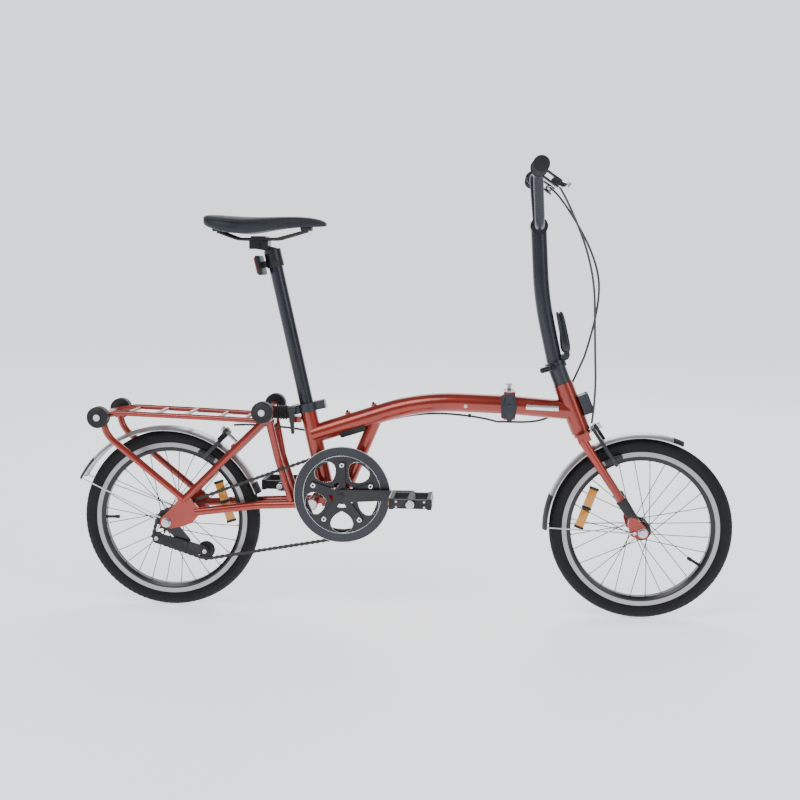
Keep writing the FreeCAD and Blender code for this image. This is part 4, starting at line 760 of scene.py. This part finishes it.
def make_wheel_parts(looks):
    """Tread blocks, spoke nipples, valves and spoke reflectors."""
    for name, axle, reflector, valve_angle in (("front", FRONT_AXLE, looks.front_reflector_angle, 329),
                                               ("rear", REAR_AXLE, looks.rear_reflector_angle, 181)):
        body = name + "_wheel"
        tread, nipples, trim = Maker(), Maker(), Maker()
        centre_radius = TYRE_RADIUS - TYRE_SECTION
        for index in range(TREAD_BLOCKS):
            for side in (-1, 1):
                angle = 360 * (index + 0.25 * side) / TREAD_BLOCKS
                out = on_circle(Vector(), 1, angle)
                tilt = math.radians(44) * side
                normal = out * math.cos(tilt) + LEFT * math.sin(tilt)
                spot = axle + out * centre_radius + normal * 0.0171
                along = LEFT.cross(out)
                turn = basis(along, LEFT * math.cos(tilt) - out * math.sin(tilt))
                tread.box((0.0062, 0.0085, 0.0014), spot, turn, 0.0004)
        tread.done(name + "_tread_blocks", name + "_tyre", body, "tyre_rubber", 30)
        for index in range(SPOKES):
            angle = 360 * (index + 0.5) / SPOKES
            side = 1 if index % 2 else -1
            spot = on_circle(axle, 0.1605, angle, side * 0.0019)
            inward = (on_circle(axle, 0.14, angle, side * 0.0055) - spot).normalized()
            nipples.lathe([(0.0011, 0), (0.0021, 0), (0.0021, 0.004), (0.0015, 0.0052), (0.0015, 0.0095),
                           (0.0011, 0.0095)], spot, inward, 10)
        nipples.done(name + "_spoke_nipples", "bright_steel", body, "steel")
        valve = on_circle(axle, 0.1615, valve_angle)
        inward = (axle - valve).normalized()
        trim.lathe([(0.0045, -0.001), (0.0048, 0.0015), (0.0035, 0.003), (0.0035, 0.022), (0.0042, 0.0225),
                    (0.0042, 0.031), (0.0034, 0.0325), (0, 0.0325)], valve, inward, 16)
        trim.done(name + "_valve", "black_plastic", body, "black_plastic")
        lens = Maker()
        spot = on_circle(axle, 0.132, reflector)
        out = (spot - axle).normalized()
        along = LEFT.cross(out)
        for end in (-1, 1):
            centre = spot + along * end * 0.0255
            lens.box((0.0205, 0.044, 0.0085), centre, basis(out, along), 0.0026)
        lens.done(name + "_spoke_reflector", "amber", body, "black_plastic")
        clips = Maker()
        for shift in (-0.0485, 0, 0.0485):
            clips.box((0.0225, 0.0055, 0.0105), spot + along * shift, basis(out, along), 0.001)
        clips.done(name + "_reflector_clips", "black_plastic", body, "black_plastic")


def make_axle_parts(looks):
    """Bronze ring round the rear hub."""
    cover = Maker()
    cover.lathe([(0.0125, 0), (0.024, 0), (0.0255, 0.0012), (0.0255, 0.0035), (0.0235, 0.0047),
                 (0.0125, 0.0047)], REAR_AXLE + LEFT * -0.0349, -LEFT, 40)
    cover.done("rear_hub_ring", "bronze", "rear_wheel", "steel")


# ---------------------------------------------------------------- fenders

def fender_band(shape, centre, radius, first, last, half, lift):
    """Curved band over a fender, open below."""
    rows = []
    steps = max(4, int(abs(last - first) / 2))
    for step in range(steps + 1):
        angle = first + (last - first) * step / steps
        row = []
        for across in range(-8, 9):
            share = across / 8
            row.append(on_circle(centre, radius + lift - 0.009 * share ** 2, angle, half * share))
        rows.append(row)
    shape.grid(rows, 0.0007)


def make_fender_parts(looks):
    """Black ends on the fenders, and rivets on the rear one."""
    rear_centre = REAR_AXLE + Vector((-0.0114, 0, -0.0178))
    for name, centre, radius, first, last, body in (
            ("front_fender_nose", FRONT_AXLE, 0.224, 65.5, 72, "fork"),
            ("front_fender_tail", FRONT_AXLE, 0.224, 160, 181.5, "fork"),
            ("rear_fender_tail", rear_centre, 0.238, 138, 152.2, "rear_frame"),
            ("rear_fender_nose", rear_centre, 0.238, 20.5, 27, "rear_frame")):
        shape = Maker()
        fender_band(shape, centre, radius, first, last, 0.0234, 0.0009)
        shape.done(name, "black_plastic", body, "alloy", 40)
    rivets = Maker()
    for angle in (140.5, 145):
        for y in (-0.012, 0.012):
            spot = on_circle(rear_centre, 0.2368, angle, y)
            out = (spot - rear_centre).normalized()
            rivets.lathe([(0.0034, -0.001), (0.0032, 0.0008), (0.002, 0.0016), (0, 0.0018)], spot, out, 14)
    rivets.done("rear_fender_rivets", "bright_steel", "rear_frame", "alloy")


# ---------------------------------------------------------------- pedals

def make_pedal_parts(looks):
    """Amber reflectors in the pedal rails, metal edges, screws and axle caps."""
    for side_name, side in SIDES:
        node = "pedal_" + side_name
        low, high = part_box(node)
        centre = middle(node)
        lens, steel = Maker(), Maker()
        for end, x in ((-1, low[0]), (1, high[0])):
            for y in (-0.021, 0.021):
                spot = Vector((x + end * 0.0005, centre.y + y, centre.z))
                lens.box((0.0026, 0.031, 0.0135), spot, None, 0.001)
            for z in (high[2] - 0.0005, low[2] + 0.0005):
                spot = Vector((x - end * 0.0008, centre.y, z))
                steel.box((0.0015, 0.089, 0.0035), spot, None, 0.0004)
        outer = high[1] if side > 0 else low[1]
        steel.lathe([(0, -0.001), (0.0095, -0.001), (0.0095, 0.001), (0.0078, 0.0024), (0, 0.0028)],
                    Vector((centre.x, outer + side * 0.004, centre.z)), LEFT * side, 24)
        for x in (low[0] + 0.016, high[0] - 0.016):
            for z in (-0.006, 0.006):
                steel.lathe([(0.0026, -0.0005), (0.0026, 0.0009), (0.0016, 0.0013), (0, 0.0013)],
                            Vector((x, outer, centre.z + z)), LEFT * side, 12)
        lens.done(node + "_reflectors", "amber", node, "black_plastic")
        steel.done(node + "_metal", "satin_alloy", node, "alloy")


# ---------------------------------------------------------------- frame and cranks

def make_bellows(looks):
    """Rubber bellows over the suspension block, with rolled folds and end lips."""
    shape = Maker()
    profile = [(0, 0), (0.0135, 0), (0.0146, 0.0006), (0.0146, 0.0028), (0.0138, 0.0034)]
    for fold in range(4):
        start = 0.0040 + fold * 0.0063
        for step in range(9):
            turn = math.pi * step / 8
            profile.append((0.0142 + 0.0033 * math.sin(turn), start + 0.0058 * step / 8))
    profile += [(0.0138, 0.0296), (0.0146, 0.0302), (0.0146, 0.0324), (0.0135, 0.033), (0, 0.033)]
    shape.lathe(profile, place(246.8, 0, 466), AHEAD, 48)
    bellows = shape.done("bellows", "bellows_rubber", "rear_frame", "soft_rubber", 60)
    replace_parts(bellows, "suspension_bellows")


def make_crank_parts(looks):
    """Chainring bolts, machined rims on the guard and caps on the crank ends."""
    bolts, rims = Maker(), Maker()
    for angle in SPIDER_ARMS:
        spot = on_circle(BRACKET, looks.bolt_circle / 2, angle)
        bolts.lathe([(0.0056, 0), (0.0056, 0.0016), (0.0046, 0.0024), (0.0028, 0.0024), (0.0028, 0.0012),
                     (0, 0.0012)], Vector((spot.x, -0.0579, spot.z)), -LEFT, 20)
    bolts.done("chainring_bolts", "polished_alloy", "crank", "alloy")
    for radius in (0.1115, 0.0905):
        path = [on_circle(BRACKET, radius, 3 * step, -0.0520) for step in range(120)]
        rims.ring(path, 0.0006, 8)
    rims.done("guard_machined_rims", "polished_alloy", "crank", "alloy", 60)
    for name, side in SIDES:
        cap = Maker()
        low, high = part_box("crank_arm_" + name)
        outer = high[1] if side > 0 else low[1]
        cap.lathe([(0, -0.0015), (0.0088, -0.0015), (0.0088, 0.0012), (0.0074, 0.0022), (0, 0.0024)],
                  Vector((BRACKET.x, outer, BRACKET.z)), LEFT * side, 32)
        cap.done("crank_cap_" + name, "black_plastic", "crank", "black_plastic")


# Radius in metres, and how many degrees the web reaches each side of an arm there.
WEB_WIDTHS = ((0.030, 36), (0.038, 36), (0.042, 27), (0.047, 20), (0.054, 15.5), (0.063, 13.5),
              (0.072, 14.5), (0.079, 18), (0.084, 23), (0.0875, 29), (0.0895, 36), (0.092, 36))


def make_web(looks):
    """Plate behind the spider with five rounded windows and their machined edges."""
    web, edges = Maker(), Maker()
    level = -looks.web_level
    for middle_angle in SPIDER_ARMS:
        rows = []
        for radius, width in WEB_WIDTHS:
            angles = [middle_angle + width * step / 4 for step in range(-4, 5)]
            rows.append([on_circle(BRACKET, radius, angle, level) for angle in angles])
        web.grid(rows)
        window = [on_circle(BRACKET, radius, middle_angle + width, level - 0.0006)
                  for radius, width in WEB_WIDTHS[1:-1]]
        window += [on_circle(BRACKET, radius, middle_angle + 72 - width, level - 0.0006)
                   for radius, width in reversed(WEB_WIDTHS[2:-2])]
        edges.ring(window, 0.0005, 6)
    bmesh.ops.remove_doubles(web.mesh, verts=web.mesh.verts[:], dist=1e-5)
    bmesh.ops.recalc_face_normals(web.mesh, faces=web.mesh.faces[:])
    bmesh.ops.solidify(web.mesh, geom=web.mesh.faces[:], thickness=0.0008)
    web.done("guard_web", "anodised", "crank", "black_paint")
    edges.done("guard_window_edges", "polished_alloy", "crank", "alloy", 60)


def make_tensioner_parts(looks):
    """Bolt heads on the tensioner arm."""
    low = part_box("tensioner_arm")[0]
    bolts = Maker()
    for node in ("jockey_wheel", "guide_wheel"):
        spot = middle(node)
        bolts.hexagon(Vector((spot.x, low.y + 0.0004, spot.z)), -LEFT, 0.0052, 0.003)
    bolts.done("tensioner_bolts", "satin_alloy", "tensioner_arm", "alloy", 30)


def make_frame_parts(looks):
    """Cable clips, boss screws, a cable sleeve, a blank badge and a plug on the tubes."""
    clips = Maker()
    for spot, after in (((600, 20, 470), (590, 20, 468)), ((700, 7, 465), (690, 8, 466))):
        start = place(*spot)
        way = (place(*after) - start).normalized()
        clips.lathe([(0.0027, -0.003), (0.0043, -0.003), (0.0045, -0.0024), (0.0045, 0.0024),
                     (0.0043, 0.003), (0.0027, 0.003)], start, way, 20)
    clips.done("main_tube_cable_clips", "black_plastic", "main_frame", "black_plastic")
    screws = Maker()
    foot = place(335, 0, 415)
    run = (place(590, 0, 499) - foot).normalized()
    rise = run.cross(LEFT)
    for along in (94, 158):
        screws.hexagon(foot + run * along * MM + rise * looks.boss_height, rise, 0.0038, 0.0045)
    screws.done("boss_screws", "black_plastic", "main_frame", "alloy", 30)
    sleeve = Maker()
    start = foot + run * 0.062 - rise * 0.0185 - LEFT * 0.011
    sleeve.lathe([(0, 0), (0.0065, 0.0005), (0.0085, 0.004), (0.0088, 0.058), (0.0065, 0.0625), (0, 0.063)],
                 start, run, 28)
    sleeve.done("cable_sleeve", "soft_rubber", "main_frame", "soft_rubber")
    badge, plug = Maker(), Maker()
    along = place(1, 0, -0.035) - place(0, 0, 0)
    badge.box((0.074, 0.0026, 0.0115), place(866, -21.7, 489.5), basis(along, LEFT))
    badge.done("blank_badge", "polished_alloy", "front_frame", "alloy")
    plug.lathe([(0, -0.001), (0.0042, -0.001), (0.0042, 0.0006), (0.003, 0.0014), (0, 0.0016)],
               place(691, -21.6, 490), -LEFT, 20)
    plug.done("tube_plug", "white_mark", "main_frame", "frame_paint")


def oval_rows(stations):
    """Rings of points round an upright line; a station is (centre, half depth, half width)."""
    rows = []
    for centre, depth, width in stations:
        row = []
        for step in range(24):
            turn = 2 * math.pi * step / 24
            across, along = math.cos(turn), math.sin(turn)
            row.append(centre + AHEAD * math.copysign(abs(across) ** 0.8, across) * depth
                       + LEFT * math.copysign(abs(along) ** 0.8, along) * width)
        rows.append(row)
    return rows


def close_ends(shape, made):
    """Closes a tube of rows at both ends."""
    for end in (made[0], made[-1]):
        shape.mesh.faces.new(end)


def make_fork_parts(looks):
    """Black sleeves on the lower fork legs."""
    for name, side in SIDES:
        sleeve = Maker()
        top, foot = place(957, 40 * side, 420), place(1090, 41 * side, 221)
        start, end = top.lerp(foot, 0.69), top.lerp(foot, 0.93)
        length = (end - start).length
        wide, slim = looks.sleeve_thickness / 2, looks.sleeve_thickness / 2 - 0.0019
        sleeve.lathe([(wide - 0.002, -0.002), (wide + 0.0006, 0), (wide + 0.0006, 0.004), (wide, 0.006),
                      (slim, length - 0.004), (slim - 0.0012, length), (slim - 0.003, length)],
                     start, end - start, 40)
        sleeve.done("fork_sleeve_" + name, "black_plastic", "fork", "black_plastic", 40)


def make_latch_shell(looks):
    """Cast shell over the handlepost's latch lever."""
    low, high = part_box("handlepost_latch")
    foot = Vector((high.x - 0.012, (low.y + high.y) / 2, low.z + 0.012))
    tip = Vector((low.x + 0.008, (low.y + high.y) / 2, high.z + 0.001))
    stations = []
    for share, depth, width in ((0, 0.006, 0.006), (0.05, 0.0105, 0.0105), (0.18, 0.0125, 0.0115),
                                (0.4, 0.0105, 0.0105), (0.65, 0.009, 0.009), (0.88, 0.0065, 0.0075),
                                (0.97, 0.0045, 0.0055), (1, 0.002, 0.003)):
        stations.append((foot.lerp(tip, share) + AHEAD * 0.0035, depth, width))
    shell = Maker()
    close_ends(shell, shell.grid(oval_rows(stations), closed=True))
    shell.done("latch_shell", "post_black", "handlepost_latch", "black_paint", 60, 1)


def make_brake_parts(looks):
    """Bolt that holds each brake."""
    for name, pivot, out, body in (("front", place(957, 0, 421.5), Vector((0.83, 0, 0.558)), "fork"),
                                   ("rear", place(158, 0, 390), Vector((-0.72, 0, 0.69)), "rear_frame")):
        out = out.normalized()
        bolt = Maker()
        bolt.hexagon(pivot + out * looks.brake_bolt_reach, out, 0.0062, 0.0052)
        bolt.done(name + "_brake_bolt", "bright_steel", body, "steel", 30)


def make_reflector(looks):
    """Round-cornered rear reflector on a black bracket clamped round the seatpost."""
    shape, lens = Maker(), Maker()
    tilt = math.radians(SEAT_TUBE_LEAN)
    back = Vector((-math.cos(tilt), 0, -math.sin(tilt)))
    lean = Vector((-math.sin(tilt), 0, math.cos(tilt)))
    post = place(324.8, 0, 468) + lean * looks.reflector_height
    shape.lathe([(0.0161, -0.011), (0.0192, -0.011), (0.0198, -0.0102), (0.0198, 0.0102), (0.0192, 0.011),
                 (0.0161, 0.011), (0.0161, -0.011)], post, lean, 40)
    shape.box((0.012, 0.017, 0.015), post + back * 0.0245, basis(back, LEFT), 0.0015)
    shape.box((0.008, 0.082, 0.046), post + back * 0.0335, basis(back, LEFT), 0.0035)
    shape.done("reflector_bracket", "black_plastic", "seatpost", "black_plastic")
    lens.box((0.004, 0.074, 0.038), post + back * 0.0385, basis(back, LEFT), 0.0018)
    lens.done("reflector_lens", "red_lens", "seatpost", "black_plastic")


# ---------------------------------------------------------------- stage

def lamp(name, spot, aim, size, power):
    """Round soft light aimed at a point."""
    light = bpy.data.lights.new(name, "AREA")
    light.shape = "DISK"
    light.size, light.energy = size, power
    item = bpy.data.objects.new(name, light)
    item.location = spot
    item.rotation_euler = (aim - spot).to_track_quat("-Z", "Y").to_euler()
    bpy.context.collection.objects.link(item)


def make_stage(looks):
    """Pale paper floor that curves up behind, soft lights and the camera."""
    floor = Maker()
    rows = []
    for step in range(25):
        share = step / 24
        if share < 0.5:
            y, z = -9 + 28 * share, 0
        else:
            turn = math.pi / 2 * (share - 0.5) * 2
            y, z = 5 + 7 * math.sin(turn), 7 * (1 - math.cos(turn))
        rows.append([Vector((x, y, z - 0.0006)) for x in (-16, -8, 0, 8, 16)])
    floor.grid(rows)
    ground = floor.done("floor", "floor", None, None, 80)
    world = bpy.data.worlds.new("studio")
    bpy.context.scene.world = world
    world.use_nodes = True
    world.node_tree.nodes["Background"].inputs[0].default_value = (0.95, 0.97, 1.0, 1)
    world.node_tree.nodes["Background"].inputs[1].default_value = looks.sky_light
    aim = Vector((0, 0, 0.45))
    power = looks.lamp_power
    lamp("key", Vector((-1.6, -3.2, 4.2)), aim, 3.0, power)
    lamp("fill", Vector((3.6, -2.8, 2.4)), aim, 3.0, power * 0.5)
    lamp("back", Vector((0.4, 3.4, 3.6)), aim, 3.2, power * 0.7)
    make_camera()


def make_camera():
    """Camera in front of the right side, a little raised; its angles are in radians."""
    yaw, pitch, roll = -0.0715, 0.1159, -0.0092
    ahead = Vector((math.sin(yaw) * math.cos(pitch), math.cos(yaw) * math.cos(pitch), -math.sin(pitch)))
    right = Vector((math.cos(yaw), -math.sin(yaw), 0))
    down = ahead.cross(right)
    across = right * math.cos(roll) + down * math.sin(roll)
    below = down * math.cos(roll) - right * math.sin(roll)
    data = bpy.data.cameras.new("camera")
    data.lens, data.sensor_width, data.clip_end = 54.6, 36, 60
    item = bpy.data.objects.new("camera", data)
    turn = Matrix((across, -below, -ahead)).transposed().to_4x4()
    item.matrix_world = Matrix.Translation((0.194479, -2.7889, 0.8249)) @ turn
    bpy.context.collection.objects.link(item)
    bpy.context.scene.camera = item


# ---------------------------------------------------------------- panel and operators

def colour(name, text, default):
    """A colour setting of the panel."""
    return FloatVectorProperty(name=name, description=text, default=default, size=3, min=0, max=1,
                               subtype="COLOR")


class BicycleLooks(bpy.types.PropertyGroup):
    """Sizes and colours of the bicycle's looks."""
    frame_colour: colour("Frame", "Colour of the frame's lacquer", (0.30, 0.0155, 0.0015))
    black_colour: colour("Black parts", "Colour of the painted posts and clamps", (0.008, 0.010, 0.018))
    saddle_colour: colour("Saddle", "Colour of the saddle cover", (0.007, 0.009, 0.016))
    cable_thickness: FloatProperty(name="Cable", description="Thickness of the brake cables", default=0.005,
                                   min=0.003, max=0.007, unit="LENGTH", subtype="DISTANCE")
    bolt_circle: FloatProperty(name="Bolt circle", description="Circle of the chainring bolts", default=0.14,
                               min=0.1, max=0.2, unit="LENGTH", subtype="DISTANCE")
    reflector_height: FloatProperty(name="Reflector", description="Rear reflector above the seat tube",
                                    default=0.355, min=0.1, max=0.4, unit="LENGTH", subtype="DISTANCE")
    boss_height: FloatProperty(name="Boss", description="Top of a boss above the tube's middle",
                               default=0.026, min=0, max=0.04, unit="LENGTH", subtype="DISTANCE")
    sleeve_thickness: FloatProperty(name="Fork sleeve", description="Thickness of a fork sleeve at its top",
                                    default=0.0255, min=0.02, max=0.03, unit="LENGTH", subtype="DISTANCE")
    brake_bolt_reach: FloatProperty(name="Brake bolt", description="Brake bolt's head out from its bridge",
                                    default=0.0435, min=0.02, max=0.06, unit="LENGTH", subtype="DISTANCE")
    web_level: FloatProperty(name="Guard web", description="Guard web's distance from the bicycle's middle",
                             default=0.05245, min=0.05, max=0.055, unit="LENGTH", subtype="DISTANCE")
    front_reflector_angle: FloatProperty(name="Front reflector",
                                         description="Turn of the front spoke reflector, in degrees",
                                         default=160, min=0, max=360)
    rear_reflector_angle: FloatProperty(name="Rear reflector",
                                        description="Turn of the rear spoke reflector, in degrees",
                                        default=18, min=0, max=360)
    sky_light: FloatProperty(name="Sky", description="Strength of the light from all round",
                             default=0.36, min=0)
    floor_glow: FloatProperty(name="Floor", description="Light of the studio paper itself",
                              default=1.1, min=0)
    lamp_power: FloatProperty(name="Lamps", description="Power of the main lamp", default=105, min=0)


class Step:
    """Shared by the operators: each runs its makers in turn."""
    bl_options = {"REGISTER", "UNDO"}

    def run(self, context, *makers):
        for maker in makers:
            maker(context.scene.bicycle_looks)
        return {"FINISHED"}


class BICYCLE_OT_finishes(Step, bpy.types.Operator):
    """Make the finishes and put them on the frame's nodes"""
    bl_idname = "bicycle.finishes"
    bl_label = "Finishes"

    def execute(self, context):
        return self.run(context, make_finishes, finish_nodes)


class BICYCLE_OT_saddle(Step, bpy.types.Operator):
    """Make the padded saddle, its seam, stitches and rail sockets"""
    bl_idname = "bicycle.saddle"
    bl_label = "Saddle"

    def execute(self, context):
        return self.run(context, make_saddle)


class BICYCLE_OT_grips(Step, bpy.types.Operator):
    """Make the handlebar grips"""
    bl_idname = "bicycle.grips"
    bl_label = "Grips"

    def execute(self, context):
        return self.run(context, make_grips)


class BICYCLE_OT_chain(Step, bpy.types.Operator):
    """Make the roller chain link by link"""
    bl_idname = "bicycle.chain"
    bl_label = "Chain"

    def execute(self, context):
        return self.run(context, make_chain)


class BICYCLE_OT_cables(Step, bpy.types.Operator):
    """Make the brake cables and their adjusters"""
    bl_idname = "bicycle.cables"
    bl_label = "Brake cables"

    def execute(self, context):
        return self.run(context, make_cables)


class BICYCLE_OT_wheels(Step, bpy.types.Operator):
    """Make the tread blocks, nipples, valves, spoke reflectors and rear hub ring"""
    bl_idname = "bicycle.wheels"
    bl_label = "Wheel details"

    def execute(self, context):
        return self.run(context, make_axle_parts, make_wheel_parts)


class BICYCLE_OT_fenders(Step, bpy.types.Operator):
    """Make the black fender ends and rivets"""
    bl_idname = "bicycle.fenders"
    bl_label = "Fender details"

    def execute(self, context):
        return self.run(context, make_fender_parts)


class BICYCLE_OT_pedals(Step, bpy.types.Operator):
    """Make the pedal reflectors, metal edges, screws and caps"""
    bl_idname = "bicycle.pedals"
    bl_label = "Pedal details"

    def execute(self, context):
        return self.run(context, make_pedal_parts)


class BICYCLE_OT_bellows(Step, bpy.types.Operator):
    """Make the suspension bellows"""
    bl_idname = "bicycle.bellows"
    bl_label = "Bellows"

    def execute(self, context):
        return self.run(context, make_bellows)


class BICYCLE_OT_cranks(Step, bpy.types.Operator):
    """Make the guard web, chainring bolts, guard rims, tensioner bolts and crank caps"""
    bl_idname = "bicycle.cranks"
    bl_label = "Crank details"

    def execute(self, context):
        return self.run(context, make_web, make_tensioner_parts, make_crank_parts)


class BICYCLE_OT_frame(Step, bpy.types.Operator):
    """Make the frame's cable clips and sleeve, boss screws, blank badge and plug"""
    bl_idname = "bicycle.frame"
    bl_label = "Frame details"

    def execute(self, context):
        return self.run(context, make_frame_parts)


class BICYCLE_OT_fork(Step, bpy.types.Operator):
    """Make the fork sleeves, the latch shell and the brake bolts"""
    bl_idname = "bicycle.fork"
    bl_label = "Fork and latch details"

    def execute(self, context):
        return self.run(context, make_fork_parts, make_latch_shell, make_brake_parts)


class BICYCLE_OT_reflector(Step, bpy.types.Operator):
    """Make the rear reflector and its bracket"""
    bl_idname = "bicycle.reflector"
    bl_label = "Rear reflector"

    def execute(self, context):
        return self.run(context, make_reflector)


class BICYCLE_OT_stage(Step, bpy.types.Operator):
    """Make the floor, the lights and the camera"""
    bl_idname = "bicycle.stage"
    bl_label = "Stage"

    def execute(self, context):
        return self.run(context, make_stage)


STEPS = (BICYCLE_OT_finishes, BICYCLE_OT_saddle, BICYCLE_OT_grips, BICYCLE_OT_chain, BICYCLE_OT_cables,
         BICYCLE_OT_wheels, BICYCLE_OT_fenders, BICYCLE_OT_pedals, BICYCLE_OT_bellows, BICYCLE_OT_cranks,
         BICYCLE_OT_frame, BICYCLE_OT_fork, BICYCLE_OT_reflector, BICYCLE_OT_stage)


class BICYCLE_PT_panel(bpy.types.Panel):
    """The bicycle's sizes, colours and steps"""
    bl_idname = "BICYCLE_PT_panel"
    bl_label = "Folding bicycle"
    bl_space_type = "VIEW_3D"
    bl_region_type = "UI"
    bl_category = "Bicycle"

    def draw(self, context):
        looks = context.scene.bicycle_looks
        for name in BicycleLooks.__annotations__:
            self.layout.prop(looks, name)
        for step in STEPS:
            self.layout.operator(step.bl_idname)


def register():
    for item in (BicycleLooks, *STEPS, BICYCLE_PT_panel):
        bpy.utils.register_class(item)
    bpy.types.Scene.bicycle_looks = PointerProperty(type=BicycleLooks)


def unregister():
    del bpy.types.Scene.bicycle_looks
    for item in reversed((BicycleLooks, *STEPS, BICYCLE_PT_panel)):
        bpy.utils.unregister_class(item)


def main():
    """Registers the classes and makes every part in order."""
    register()
    for step in STEPS:
        group, name = step.bl_idname.split(".")
        getattr(getattr(bpy.ops, group), name)()


if __name__ == "__main__":
    main()
